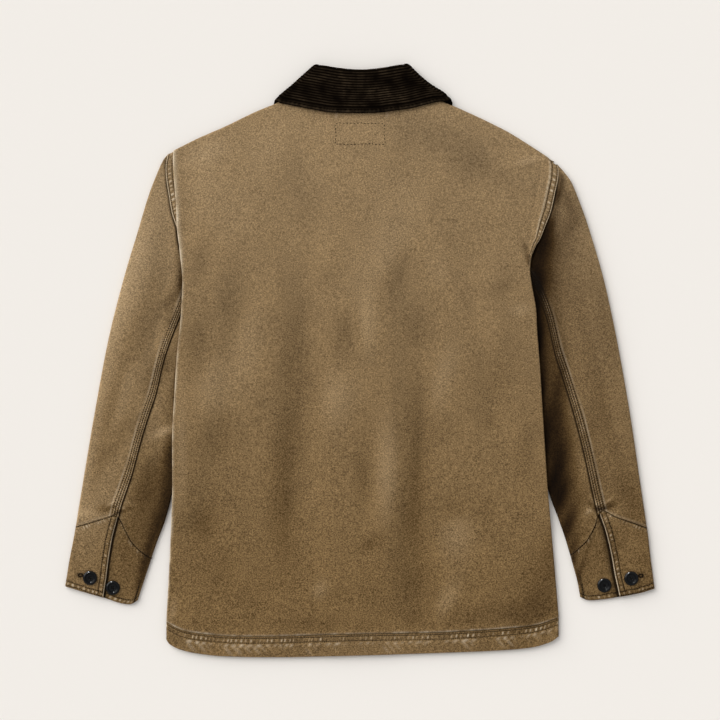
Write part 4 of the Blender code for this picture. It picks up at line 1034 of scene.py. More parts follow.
@dataclass(frozen=True)
class Corduroy(Finish):
    """Dark brown pile: soft, with browner wale tops where it is worn and where sheen is painted."""

    base: Row = (0.0020, 0.0011, 0.0006)
    # Colour of worn pile and of the sheen painted on the wale tops
    worn: Row = (0.058, 0.040, 0.023)

    def make(self) -> Material:
        """Mixes the base and the worn brown by the wear and two noises of the pile.

        Returns:
            The material.
        """
        nodes = Nodes(self.name)
        maths = nodes.maths
        place, share = nodes.place(), nodes.mark("wear_and_painted_light")
        pile = nodes.noise(place, 900.0, 2.0, 0.7)
        streaks = nodes.noise(place, 120.0, 3.0, 0.6)
        share = maths("MULTIPLY", share, maths("MULTIPLY_ADD", streaks, 2.2, -0.45))
        share = maths("MULTIPLY", share, maths("MULTIPLY_ADD", pile, 1.2, 0.3))
        share = maths("MINIMUM", maths("MAXIMUM", share, 0.0), 1.0)
        nodes.bump(pile, 0.7, 0.0002)
        return nodes.finish(nodes.mix(share, self.base, self.worn), 0.95, 0.01)


@dataclass(frozen=True)
class Plain(Finish):
    """A smooth finish in one colour with a faint mottle: buttons and thread."""

    base: Row = (0.01, 0.01, 0.012)
    roughness: float = 0.3
    uneven: float = 0.3
    specular: float = 0.5

    def make(self) -> Material:
        """Multiplies the colour by a fine noise.

        Returns:
            The material.
        """
        nodes = Nodes(self.name)
        tone = nodes.around(nodes.noise(nodes.place(), 500.0, 2.0), self.uneven * 2, 1.0)
        tint = nodes.mix(1.0, self.base, tone, "MULTIPLY")
        return nodes.finish(tint, self.roughness, self.specular)


@dataclass
class Finishes:
    """Every finish of the coat, made once."""

    canvas: Material
    corduroy: Material
    button: Material
    brown_thread: Material
    black_thread: Material

    @classmethod
    def make(cls) -> "Finishes":
        """Builds all of them.

        Returns:
            The finishes.
        """
        return cls(
            canvas=Canvas("washed canvas").make(),
            corduroy=Corduroy("dark corduroy").make(),
            button=Plain("button", (0.0022, 0.0024, 0.0028), 0.16, 0.2, 0.2).make(),
            brown_thread=Plain("brown thread", (0.022, 0.012, 0.005), 0.8, 0.4, 0.1).make(),
            black_thread=Plain("black thread", (0.006, 0.004, 0.0025), 0.8, 0.4, 0.05).make(),
        )


HEM_SEAM_LINE = Line(HEM_SEAM, True).line


def bottom_line(x: Points) -> Points:
    """The y of the seam above the hem at each x."""
    return np.interp(x, HEM_SEAM_LINE[:, 0], HEM_SEAM_LINE[:, 1])


class HemFace(Enum):
    """The three hem bands: lowest x, highest x, and a number that parts their humps."""

    BACK = (-271.6, 278.3, 0)
    LEFT = (-271.6, PLACKET_HALF, 1)
    RIGHT = (-PLACKET_HALF, 278.3, 2)

    def level(self, places: Points) -> Points:
        """Height of the plain band: the back's, or the fronts' with the lap of the right one.

        Args:
            places: x and y in millimetres, in the last axis.

        Returns:
            Heights above the floor.
        """
        if self is HemFace.BACK:
            return back_height(places, hem=True)
        lap = placket_step(places[..., 0], places[..., 1]) if self is HemFace.RIGHT else 0.0
        return lift(places) + lap


def rolled_columns(radius: Points, width: Points, angles: Points, inner: Points,
                   both: bool) -> tuple[Points, Points]:
    """Columns of a panel whose side edge rolls down along a quarter circle.

    At an angle of the roll a column stands radius * (1 - cos) inside the edge and
    radius * (1 - sin) below the flat part.

    Args:
        radius: the roll's radius in each row.
        width: the panel's width in each row.
        angles: the roll's steps, from 0 to a quarter turn.
        inner: shares of the flat part at which its columns stand.
        both: whether the far edge rolls too.

    Returns:
        The columns' shares across the panel, and how far each is below the flat part.
    """
    near, drop = radius * (1 - np.cos(angles)) / width, radius * (1 - np.sin(angles))
    middle = near[:, -1:] + (1 - (1 + both) * near[:, -1:]) * inner
    across, fall = [near, middle], [drop, np.zeros(middle.shape)]
    if both:
        across.append(1 - near[:, ::-1])
        fall.append(drop[:, ::-1])
    return np.hstack(across), np.hstack(fall)


@dataclass
class Body:
    """Back, fronts and hems, with the seams along armholes and hem."""

    finishes: Finishes
    sewing: Sewing
    column_step: float = 3.0
    row_step: float = 3.2
    roll_steps: int = 7
    back_width: float = 530.0
    open_radius: float = 1.6
    front_rows: int = 165
    front_columns: int = 68
    front_open_radius: float = 0.6
    front_wall: float = 0.9
    hem_column_step: float = 1.15
    hem_end: float = 1.6
    armhole_rows: Row = (2.2, 9.2)
    hem_rows: Row = (2.5, 9.1)
    placket_rows: Row = (3.0, 38.0)

    def relief(self, places: Points) -> Points:
        """The back's height with its creases and crumples."""
        return back_height(places) + fold_height(places, FINE_CREASES) + crumpled(places)

    def make(self) -> None:
        """Builds every panel of the body."""
        self.back()
        for side in SLEEVES:
            self.front(side)

    def back(self) -> None:
        """The back: a Coons patch whose sides and shoulders roll down along quarter circles.

        Beside the armholes the edge is a soft ridge that lies over the stitched band.
        """
        left, right = Line(BACK_LEFT_FOLD), Line(BACK_RIGHT_FOLD)
        outline = Patch(Line(BACK_TOP, True), Line(HEM_SEAM, True), left, right)
        angles = np.linspace(0, math.pi / 2, self.roll_steps)
        shoulder = SHOULDER_ROLL * (1 - np.cos(angles)) / SHOULDER_SLOPE / BACK_LENGTH
        count = int(BACK_LENGTH / self.row_step)
        even = np.linspace(shoulder[-1], 1 - 9.5 / BACK_LENGTH, count)[1:]
        above_seam = np.array((7.0, 5.0, 3.4, 2.2, 1.4, 0.8, 0.4, 0.0)) / BACK_LENGTH
        rows = np.concatenate([shoulder, even, 1 - above_seam])
        left_edge, right_edge = left.at(rows), right.at(rows)
        width = (right_edge[:, 0] - left_edge[:, 0])[:, None]
        soft = ease((172 - left_edge[:, 1]) / 60)[:, None]
        radius = half_height(left_edge)[:, None] * soft + self.open_radius * (1 - soft)
        inner = np.linspace(0, 1, int(self.back_width / self.column_step) + 2)[1:-1]
        across, side_drop = rolled_columns(radius, width, angles, inner, both=True)
        places = outline.at(across, np.broadcast_to(rows[:, None], across.shape))
        on_shoulder = ease((np.abs(places[..., 0]) - NECK_POINT) / NECK_RAMP)
        fall = np.zeros_like(across)
        fall[: self.roll_steps] = (1 - np.sin(angles))[:, None]
        inside = np.minimum(across, 1 - across) * width
        is_left = across < 0.5
        ridge = 0.9 * (1 - soft) * hill(inside - 3.0, 7.0) * is_left
        sunk = 0.9 * (1 - soft) * ease((16 - inside) / 8) * ~is_left
        calm = 1 - soft * (1 - ease(inside / 10))
        above_hem = places[..., 1] - bottom_line(places[..., 0])
        height = back_height(places) + fold_height(places, FINE_CREASES) * calm
        height = height + crumpled(places) * (0.35 + 0.65 * calm) + ridge - sunk - side_drop
        height = height - fall * on_shoulder * half_height(places)
        height = height + 0.5 * hill(above_hem - 2.2, 2.6) * ease(inside / 6)
        height = height - 0.9 * (1 - ease(above_hem / 1.6))
        uneven = np.clip(0.75 + 0.5 * Crumple(14, 12.0, 40.0, 0.7).at(places), 0.3, 1.3)
        # Painted highlight along the left side's edge and ridge, which face the light; none on the
        # right
        painted_edge_highlight = 1.05 - 0.3 * soft + 0.5 * hill(places[..., 1] - 204, 22)
        wear_and_painted_light = painted_edge_highlight * hill(inside - 0.6, 1.05) * is_left * uneven
        wear_and_painted_light = wear_and_painted_light + 0.22 * hill(inside - 3, 3.0) * is_left * (1 - soft)
        roped = 0.55 + 0.6 * Puckers(15, 9.0, 1.0).at(places[..., 0], above_hem)
        wear_and_painted_light = wear_and_painted_light + 0.62 * hill(above_hem - 0.8, 1.6) * uneven * roped
        for x, y in LABEL_RUBS:
            wear_and_painted_light = wear_and_painted_light + 0.3 * hill(places[..., 0] - x, 1.6) * hill(places[..., 1] - y, 3.4)
        shade = fold_height(places, BACK_PAINTED_SHADES)
        grids = [Grid(np.dstack([places, height]), places, wear_and_painted_light, True, shade)]
        grids += [self.armhole_band(side) for side in SLEEVES]
        piece = dressed("back", grids, self.finishes.canvas, "back_panel")
        hem = self.hem("back_hem_band", HemFace.BACK, "back_hem")

    def armhole_band(self, side: str) -> Grid:
        """The double-stitched strip beside an armhole, which goes under the back's ridge.

        Its height is the back's, less a step, plus a rounded edge at the seam, a groove
        along each row of stitches and the humps between them.

        Args:
            side: left or right.

        Returns:
            The strip's sheet.
        """
        is_left, sign = side == "left", SIGNS[side]
        line = Line(LEFT_ARMHOLE if is_left else RIGHT_ARMHOLE)
        share = np.linspace(0.004, 1, int(line.length / 0.8))[:, None]
        reach = 15.1 if is_left else 26.0
        away = np.concatenate([[0.0, 0.15, 0.5, 1.1], np.arange(1.7, reach, 0.65)])[None, :]
        narrow = 1.0 if is_left else 1 - 0.72 * ease((share - 0.42) / 0.5)
        shape = (share.shape[0], away.shape[1])
        places = line.beside(np.broadcast_to(share, shape), -sign * away * narrow)
        run = share * line.length
        places[..., 1] += (0.52 if is_left else 0.74) * away * (1 - ease(run / 24))
        humps = Puckers(21 if is_left else 22, 6.2, 1.0).at(run, away) ** 1.4
        between, groove = hill(away - 5.6, 2.1), hill(away - 2.3, 0.95) + hill(away - 9.3, 0.95)
        under_edge = 1 - rounded(away, 1.3)
        detail = 0.85 * humps * between - 0.55 * groove - 1.9 * under_edge
        # Wear on the humps, painted shade in the grooves and at the stitch dashes, a painted
        # highlight on the seam's edge; at the edge the left band gets a little painted light, the
        # right one painted shade
        wear_and_painted_light = 0.9 * humps * between - 0.25 * (1 - humps) * between - 0.95 * groove * dotted(run)
        wear_and_painted_light = wear_and_painted_light + 0.9 * hill(away - 0.9, 0.55) + (0.25 if is_left else -0.3) * under_edge
        if is_left:
            height = back_height(places) - 0.35 + detail - 0.8 * ease((away - 11.5) / 3)
            height = height - 2.2 * ease((share - 0.62) / 0.3) * ease((away - 2) / 6)
            # Painted shadow where the band goes under the back's ridge
            wear_and_painted_light = wear_and_painted_light + 0.3 * humps * hill(away - 11.5, 1.5) - 0.9 * ease((away - 11.3) / 1.2)
        else:
            height = self.relief(places) + 0.2 + detail + 0.8 * hill(away - 12.6, 3.0)
            height = height - 0.7 * ease((away - reach + 6) / 6) - 1.2 * ease((share - 0.96) / 0.04)
            fading = 1 - ease((share - 0.6) / 0.35)
            # Painted highlight on the right band's ridge
            painted_ridge_highlight = (0.34 + 0.34 * humps) * hill(away - 12.2, 1.5)
            wear_and_painted_light = wear_and_painted_light * (0.35 + 0.65 * fading) + painted_ridge_highlight * fading
        top_drop = 1 - rounded(np.maximum(run - 0.4, 0.0), SHOULDER_ROLL)
        points = np.dstack([places, height - top_drop * half_height(places)])
        fold = Line(BACK_LEFT_FOLD if is_left else BACK_RIGHT_FOLD).line[::-1]
        for row in self.armhole_rows:
            path = points[:, int(np.argmin(np.abs(away[0] - row)))]
            hidden = np.interp(path[:, 1], fold[:, 1], fold[:, 0]) * sign
            seen = path[:, 0] * sign > hidden + 0.6 if is_left else share[:, 0] < 0.86
            self.sewing.row(path[seen] + (0, 0, 0.05))
        wear_and_painted_light = np.broadcast_to(wear_and_painted_light, height.shape)
        return Grid(points, places, wear_and_painted_light, is_left, fold_height(places, BACK_PAINTED_SHADES))

    def hem(self, name: str, face: HemFace, solid: str) -> Piece:
        """A hem band: two rows of stitches below the seam, humps between and below them.

        The band's profile down from the seam is flat, then a quarter circle round its
        lower edge, then a short way back inside.

        Args:
            name: the band's name.
            face: the side of the body that it is on.
            solid: the CAD node that it replaces.

        Returns:
            The band.
        """
        low_x, high_x, number = face.value
        is_back = face is HemFace.BACK
        count = int((high_x - low_x) / self.hem_column_step)
        x = np.linspace(low_x, high_x, count)
        edge = Line(HEM_EDGE, True).line
        top = bottom_line(x) - 0.25
        bottom = np.interp(x, edge[:, 0], edge[:, 1])
        y = top + (bottom + 1.0 - top) * np.linspace(0, 1, 24)[:, None]
        run, away = np.broadcast_to(x, y.shape), top - y
        places = np.stack([run, y], -1)
        humps = Puckers(31 + number, 5.9, 1.0, 0.2).at(run, away) ** 1.4
        beads = Puckers(36 + number, 10.5, 1.0, 0.7).at(run + 3.3, away)
        roping = np.sqrt(Puckers(41 + number, 12.5, 1.0, -0.9).at(run, away))
        between, under = hill(away - 5.8, 2.3), hill(away - 12.6, 2.3)
        below = hill(away - 19.0, 7.0)
        groove = hill(away - 2.5, 0.75) + hill(away - 9.1, 0.75)
        detail = 0.7 * humps * between + 0.5 * beads * under + 0.75 * roping * below
        detail = detail - 0.45 * groove - 0.5 * (1 - rounded(away, 0.8))
        radius = half_height(places)
        end_room = np.minimum(run - low_x, high_x - run)
        rolled = (np.abs(run) > 150) * radius * (1 - rounded(end_room, radius))
        worn = np.clip(0.7 + Crumple(43, 30.0, 90.0, 0.4).at(places), 0.1, 1.3)
        # Wear on the humps, beads and roping; painted shade between the humps, along the rows of
        # stitches and at the seam's top
        wear_and_painted_light = 0.7 * worn * humps * between - 0.38 * (1 - humps) * between
        wear_and_painted_light = wear_and_painted_light + 0.55 * worn * beads * under - 0.97 * groove * dotted(run)
        wear_and_painted_light = wear_and_painted_light + (0.27 * roping * worn - 0.13) * below - 0.5 * hill(away - 0.2, 0.8)
        # The back's painted shade and light, and a little lighter overall, most in the middle
        shade = fold_height(places, BACK_PAINTED_SHADES) + 0.035 + 0.02 * hill(run, 120.0)
        height = face.level(places)
        if is_back:
            height = height - 0.2 + detail - rolled
        else:
            height = np.maximum(height - detail * 0.5 + 0.35 + rolled, 0.02)
        turn = -1.0 if is_back else 1.0
        points = np.dstack([places, height])
        last = points[-1]
        angle = np.radians((25, 50, 75, 100, 130, 160))[:, None]
        curl = [np.broadcast_to(last[:, 0], (6, count)), last[:, 1] - 1.1 * np.sin(angle),
                last[:, 2] + turn * 1.1 * (1 - np.cos(angle))]
        back_in = np.stack([last[:, 0], last[:, 1] + 9.0, last[:, 2] + turn * 2.0], -1)[None]
        points = np.concatenate([points, np.stack(curl, -1), back_in], axis=0)
        wear_and_painted_light = np.concatenate([wear_and_painted_light, np.full((7, count), 0.12)], axis=0)
        shade = np.concatenate([shade, np.repeat(shade[-1:], 7, axis=0)], axis=0)
        weave = np.stack([points[..., 0], run_lengths(points, 0)], -1)
        piece = dressed(name, [Grid(points, weave, wear_and_painted_light, is_back, shade)], self.finishes.canvas,
                        solid)
        keep = (x > low_x + self.hem_end) & (x < high_x - self.hem_end)
        for row in self.hem_rows:
            spot = np.stack([x, top - row], -1)[keep]
            level = face.level(spot) + (-0.55 if is_back else 0.5)
            self.sewing.row(np.column_stack([spot, level]), -turn)
        return piece

    def front(self, side: str) -> None:
        """One front, its outer face down, with its placket and hem.

        Args:
            side: left or right.
        """
        is_left, sign = side == "left", SIGNS[side]
        outer = Line(FRONT_LEFT_SIDE if is_left else FRONT_RIGHT_SIDE)
        neck = FRONT_LEFT_TOP if is_left else FRONT_RIGHT_TOP
        edge_x = -sign * PLACKET_HALF
        hem_line = HEM_SEAM_LINE[:: -sign]
        kept = hem_line[hem_line[:, 0] * sign > edge_x * sign]
        bottom = Line(tuple(map(tuple, kept[::4])))
        placket = Line(((edge_x, neck[-1][1]), (edge_x, 100), (edge_x, kept[-1][1])))
        bottom.line[-1] = placket.line[-1]
        outline = Patch(Line(neck), bottom, outer, placket)
        angles = np.linspace(0, math.pi / 2, 5)
        shoulder = SHOULDER_ROLL * (1 - np.cos(angles)) / SHOULDER_SLOPE / FRONT_LENGTH
        rows = np.concatenate([shoulder, np.linspace(0, 1, self.front_rows)[1:]])
        edge = outer.at(rows)
        soft = ease((80 - edge[:, 1]) / 30)[:, None]
        width = np.abs(placket.at(rows)[:, 0] - edge[:, 0])[:, None]
        radius = half_height(edge)[:, None] * soft + self.front_open_radius * (1 - soft)
        inner = np.linspace(0, 1, self.front_columns)[1:]
        across, drop = rolled_columns(radius, width, angles, inner, both=False)
        places = outline.at(across, np.broadcast_to(rows[:, None], across.shape))
        from_top = rows[:, None] * FRONT_LENGTH * SHOULDER_SLOPE
        on_shoulder = ease((np.abs(places[..., 0]) - NECK_POINT) / NECK_RAMP)
        top_drop = (1 - rounded(from_top, SHOULDER_ROLL)) * on_shoulder * half_height(places)
        face = HemFace.LEFT if is_left else HemFace.RIGHT
        height = face.level(places) + drop + top_drop + np.maximum(crumpled(places), 0) * 0.5
        from_edge = np.abs(places[..., 0] - edge_x)
        grooves = sum(hill(from_edge - row, 0.8) for row in self.placket_rows)
        # Wear at the placket's edge; painted shade along its rows
        wear_and_painted_light = 0.3 * hill(from_edge, 1.5) - 0.15 * grooves
        grid = Grid(np.dstack([places, height]), places, wear_and_painted_light, not is_left)
        piece = dressed(f"{side}_front", [grid], self.finishes.canvas, f"front_{side}",
                        self.front_wall)
        hem = self.hem(f"{side}_front_hem_band", face, f"front_{side}_hem")
        if is_left:
            self.placket_stitches(edge_x, sign)

    def placket_stitches(self, edge_x: float, sign: int) -> None:
        """Two rows of stitches down the left front, whose placket is the lower one.

        Args:
            edge_x: the placket's edge.
            sign: -1, as the rows stand on its left.
        """
        y = np.linspace(292, -376, 500)
        for row in self.placket_rows:
            spot = np.stack([np.full(y.shape, edge_x + sign * row), y], -1)
            self.sewing.row(np.column_stack([spot, lift(spot) + 0.1]), -1.0)

def crossing(low: Points, high: Points, is_past: Callable) -> Points:
    """Finds a crossing by halving a range 30 times.

    Args:
        low: the range's start, not past the crossing.
        high: its end, past the crossing.
        is_past: tells of each value whether it is past the crossing.

    Returns:
        The place of the crossing in each range.
    """
    for _ in range(30):
        middle = (low + high) / 2
        past = is_past(middle)
        low, high = np.where(past, low, middle), np.where(past, middle, high)
    return (low + high) / 2


def spread(count: int, stops: Row, values: tuple) -> Points:
    """Straight runs between values: each adds its change over the span between two stops.

    Args:
        count: how many columns there are, spread evenly from 0 to 1.
        stops: where the values stand, from 0 to 1.
        values: a number, or a number for each column, at each stop.

    Returns:
        A value for each column.
    """
    index = np.linspace(0, 1, count)
    total = values[0] + np.zeros(count)
    for low, high, start, end in zip(stops, stops[1:], values, values[1:]):
        total = total + (end - start) * np.clip((index - low) / (high - low), 0, 1)
    return total


@dataclass
class Sleeve:
    """A sleeve laid flat, as a tube read at a share of its length and a turn.

    Turn 0 is the inner fold, 1 to 2 the top layer, 3 the outer fold, 4 to 5 the bottom
    layer, and 6 the inner fold again, as in the solids.
    """

    side: str
    finishes: Finishes
    sewing: Sewing
    dots: Sewing
    upper_rows: int = 210
    under_rows: int = 170
    cuff_rows: int = 74
    cuff_wall: float = 1.1
    inner_row: float = 3.8
    hole_size: Row = (3.1, 2.2)

    def __post_init__(self) -> None:
        """Lays out the edges and finds the turns of the felled seam and of the slit."""
        self.edges = edges = SLEEVES[self.side]
        self.sign = SIGNS[self.side]
        self.outer, self.inner = Line(edges["outer"]), Line(edges["inner"])
        hem = Line(edges["cuff_hem"])
        self.upper = Patch(Line(edges["back_armhole"]), hem, self.outer, self.inner)
        self.lower = Patch(Line(edges["front_armhole"]), hem, self.outer, self.inner)
        self.shares = np.linspace(0, 1, 241)
        self.seam_turn = self.turn_of("felled_seam")
        self.slit_turn = self.turn_of("slit")

    def width(self, share: Points) -> Points:
        """Distance between the folded edges."""
        return np.linalg.norm(self.outer.at(share) - self.inner.at(share), axis=-1)

    def lean(self, edge: Line, share: Points) -> Points:
        """Sine of the angle between a row across the sleeve and one of its folded edges.

        It is the cross product of their directions over the product of their lengths.

        Args:
            edge: the folded edge.
            share: shares of the sleeve's length.

        Returns:
            The sine, no less than 0.35.
        """
        row = self.outer.at(share) - self.inner.at(share)
        run = edge.at(np.minimum(share + 0.01, 1.0)) - edge.at(np.maximum(share - 0.01, 0.0))
        turned = np.abs(row[..., 0] * run[..., 1] - row[..., 1] * run[..., 0])
        lengths = np.linalg.norm(row, axis=-1) * np.linalg.norm(run, axis=-1)
        return np.maximum(turned / lengths, 0.35)

    def top_height(self, share: Points, across: Points, places: Points) -> Points:
        """Height of the top layer, lower where the body's side lies on it.

        It is a soft step between the two levels, plus the folds, the crumples, and half
        a sine wave across the sleeve where it is filled.

        Args:
            share: shares of the sleeve's length.
            across: shares across it, from the outer edge.
            places: x and y of the same places.

        Returns:
            Heights above the floor.
        """
        dip = np.asarray(SLEEVE_DIP)
        low = np.interp(share, dip[:, 0], dip[:, 1])
        height = TUCKED_HEIGHT + (SHOULDER_HEIGHT - TUCKED_HEIGHT) * ease((low - across) / 0.3)
        folds = []
        for along, over, direction, half_length, half_width, depth in SLEEVE_FOLDS:
            centre = self.upper.at(np.array(over), np.array(along))
            turn = direction if self.side == "left" else 180 - direction
            folds.append((centre[0], centre[1], turn, half_length, half_width, depth))
        calm = ease((share - 0.05) / 0.12) * ease((0.76 - share) / 0.06)
        calm = calm * ease((across - 0.06) / 0.2) * ease((low - across) / 0.06)
        small = crumpled(places) * ease(across / 0.08) * ease((1 - across) / 0.1) * 0.9
        filled = np.sin(math.pi * np.clip(across / low, 0, 1)) * ease(share / 0.14)
        filled = SLEEVE_CROWN * filled * ease((0.8 - share) / 0.14)
        return height + fold_height(places, folds) * calm + small + filled

    def at(self, share: Points, turn: Points, height: Points | None = None) -> Points:
        """Points of the tube's outer face.

        Both folds are half circles between the flat layers: a quarter circle for each
        turn from 0 to 1 and from 2 to 3, mirrored below.

        Args:
            share: shares of the sleeve's length.
            turn: turns round the tube.
            height: the top layer's height, or None for the sleeve's own.

        Returns:
            The points in millimetres.
        """
        share, turn = np.broadcast_arrays(share, np.mod(turn, 6.0))
        width = self.width(share)
        outer_roll, inner_roll = SHOULDER_HEIGHT / 2, TUCKED_HEIGHT / 2
        if height is not None:
            outer_roll = CUFF_HEIGHT / 2
        is_top = turn <= 3.0
        half = np.where(is_top, turn, 6.0 - turn)
        angle_in = np.clip(half, 0, 1) * math.pi / 2
        angle_out = np.clip(3.0 - half, 0, 1) * math.pi / 2
        from_in = 1 - inner_roll * (1 - np.cos(angle_in)) / width / self.lean(self.inner, share)
        to_out = outer_roll * (1 - np.cos(angle_out)) / width / self.lean(self.outer, share)
        flat = np.clip(half - 1, 0, 1)
        across = np.where(half < 1, from_in, from_in * (1 - flat) + to_out * flat)
        across = np.where(half > 2, to_out, across)
        above, below = self.upper.at(across, share), self.lower.at(across, share)
        places = np.where(is_top[..., None], above, below)
        face = self.top_height(share, across, places) if height is None else height
        face = np.where(is_top, face, 0.0)
        side = np.where(is_top, 1.0, -1.0)
        inner_face = inner_roll * (1 + side * np.sin(angle_in))
        outer_face = outer_roll * (1 + side * np.sin(angle_out))
        z = np.where(half < 1, inner_face, np.where(half > 2, outer_face, face))
        return np.concatenate([places, z[..., None]], axis=-1)

    def turn_of(self, name: str) -> Points:
        """The turn at which the top layer crosses a line, found by halving.

        Args:
            name: the line's name in the table.

        Returns:
            The turn at each of self.shares.
        """
        line = Line(self.edges[name]).line
        line = line[np.argsort(line[:, 1])]

        def is_past(turn: Points) -> Points:
            """Whether a turn lies further out than the line.

            Args:
                turn: a turn at each of self.shares.

            Returns:
                True or False for each.
            """
            spot = self.at(self.shares, turn)
            edge = np.interp(spot[:, 1], line[:, 1], line[:, 0])
            return spot[:, 0] * self.sign > edge * self.sign

        return crossing(np.ones(len(self.shares)), np.full(len(self.shares), 2.0), is_past)

    def turn_per_mm(self, share: Points) -> Points:
        """How much the turn grows for a millimetre across a flat layer."""
        return 1.0 / (self.width(share) - (SHOULDER_HEIGHT + TUCKED_HEIGHT) / 2)

    def cuff_share(self, turn_at: Callable, gap: float) -> Points:
        """Share of the length where each column meets the cuff seam, found by halving.

        Args:
            turn_at: gives each column's turn at a share.
            gap: distance above the seam.

        Returns:
            A share for each column.
        """
        line = Line(self.edges["cuff_seam"]).line
        line = line[np.argsort(line[:, 0])]
        ends = np.array([line[np.argmin(np.abs(line[:, 0] * self.sign - x))] for x in (400, 295)])
        ends = ends[np.argsort(ends[:, 0])]

        def is_past(share: Points) -> Points:
            """Whether a share lies below the seam.

            Args:
                share: a share for each column.

            Returns:
                True or False for each.
            """
            turn = turn_at(share)
            spot = self.at(share, turn)
            top = np.interp(spot[:, 0], line[:, 0], line[:, 1])
            under = np.interp(spot[:, 0], ends[:, 0], ends[:, 1])
            level = np.where(np.mod(turn, 6.0) <= 3.0, top, under)
            return spot[:, 1] < level + gap

        count = len(turn_at(np.array(0.7)))
        return crossing(np.full(count, 0.5), np.full(count, 0.98), is_past)

    def seam_at(self, share: Points) -> Points:
        """Turn of the felled seam at shares of the length."""
        return np.interp(share, self.shares, self.seam_turn)

    def slit_at(self, share: Points) -> Points:
        """Turn of the slit's edge at shares of the length."""
        return np.interp(share, self.shares, self.slit_turn)

    def upper_turns(self, share: Points) -> Points:
        """Columns of the upper sleeve: from the felled seam over the outer fold."""
        start = self.seam_at(share) - 1.0 * self.turn_per_mm(share)
        return spread(96, (0, 0.42, 0.58, 1), (start, 2.0, 4.0, 4.75))

    def under_turns(self, share: Points) -> Points:
        """Columns of the under sleeve: from the bottom layer round the inner fold.

        Args:
            share: a share of the sleeve's length, or one for each column.

        Returns:
            A turn for each column.
        """
        pace = self.turn_per_mm(share)
        start, end = -1.25 + SEAM_GAP * pace, self.seam_at(share) - 3.0 * pace
        return spread(84, (0, 0.2, 0.35, 1), (start, -1.0, 1.0, end))

    def cuff_turns(self, share: Points) -> Points:
        """Columns of the cuff: from under the overlap round the wrist to the slit's edge.

        Args:
            share: a share of the sleeve's length, or one for each column.

        Returns:
            A turn for each column.
        """
        slit = self.slit_at(share)
        stops = (0, 0.22, 0.30, 0.40, 0.60, 0.68, 1.0)
        start = slit + 9.0 * self.turn_per_mm(share)
        return spread(190, stops, (start, 1.0, -1.0, -1.5, -2.0, -4.0, slit - 6.0))

    def shade(self, places: Points) -> Points:
        """Painted shade and light of the sleeve: the painted light of its side plus its table of
        painted shade.
        """
        return SLEEVE_PAINTED_LIGHT[self.side] + fold_height(places, SLEEVE_PAINTED_SHADES[self.side])

    def cloth(self, name: str, points: Points, wear_and_painted_light: Points, solid: str,
              wall: float = 0.0) -> Piece:
        """Makes one piece of the sleeve from its points.

        Args:
            name: the piece's name after the side.
            points: rows and columns of points.
            wear_and_painted_light: the wear at each point.
            solid: the replaced node's name after the side.
            wall: the cloth's thickness, or 0 for a single sheet.

        Returns:
            The new object.
        """
        is_cuff = solid == "cuff"
        flip = self.side == ("left" if is_cuff else "right")
        grid = Grid(points, weave_on(points), wear_and_painted_light, flip, self.shade(points[..., :2]))
        return dressed(f"{self.side}_{name}", [grid], self.finishes.canvas, f"{self.side}_{solid}",
                       wall)

    def panel(self, name: str, turn_at: Callable, rows: int) -> Piece:
        """One panel of the tube, from its armhole to the seam with the cuff.

        Args:
            name: the panel's name after the side.
            turn_at: gives each column's turn at a share.
            rows: how many rows it has.

        Returns:
            The panel.
        """
        end = self.cuff_share(turn_at, 0.1)
        share = end * np.linspace(0, 1, rows)[:, None]
        turn = np.array([turn_at(row) for row in share])
        points = self.at(share, turn)
        round_turn = np.mod(turn, 6.0)
        is_top = round_turn <= 3.0
        near_cuff = hill((end - share) * SLEEVE_LENGTH - 1.3, 1.3)
        crown = hill(share * SLEEVE_LENGTH, 3.0)
        points[..., 2] += is_top * (0.3 * near_cuff - 1.6 * crown)
        wear_and_painted_light = (0.08 + 0.16 * (round_turn > self.slit_at(share))) * near_cuff
        # Painted shade at the armhole seam, a painted shadow in the ditch beside the felled strip
        # and a painted highlight beyond its other edge; pale wear along the outer fold
        wear_and_painted_light = wear_and_painted_light - 0.9 * hill(share * SLEEVE_LENGTH, 2.2)
        seam_side = (turn - self.seam_at(share)) / self.turn_per_mm(share)
        wear_and_painted_light = wear_and_painted_light - 1.1 * hill(seam_side + 6.5, 1.2) + 0.42 * hill(seam_side - 7.4, 0.9)
        low_down = ease((share - 0.6) / 0.2)
        wear_and_painted_light = (wear_and_painted_light + 0.10 * hill(seam_side + 9.0, 1.2) * low_down) * is_top
        wear_and_painted_light = wear_and_painted_light + 0.12 * hill(np.abs(round_turn - 3.0), 0.5)
        return self.cloth(f"{name}_cloth", points, wear_and_painted_light, name)

    def make(self) -> None:
        """Builds the panels, the felled seam and the cuff."""
        upper = self.panel("upper_sleeve", self.upper_turns, self.upper_rows)
        under = self.panel("under_sleeve", self.under_turns, self.under_rows)
        strip = self.strip()
        self.cuff()

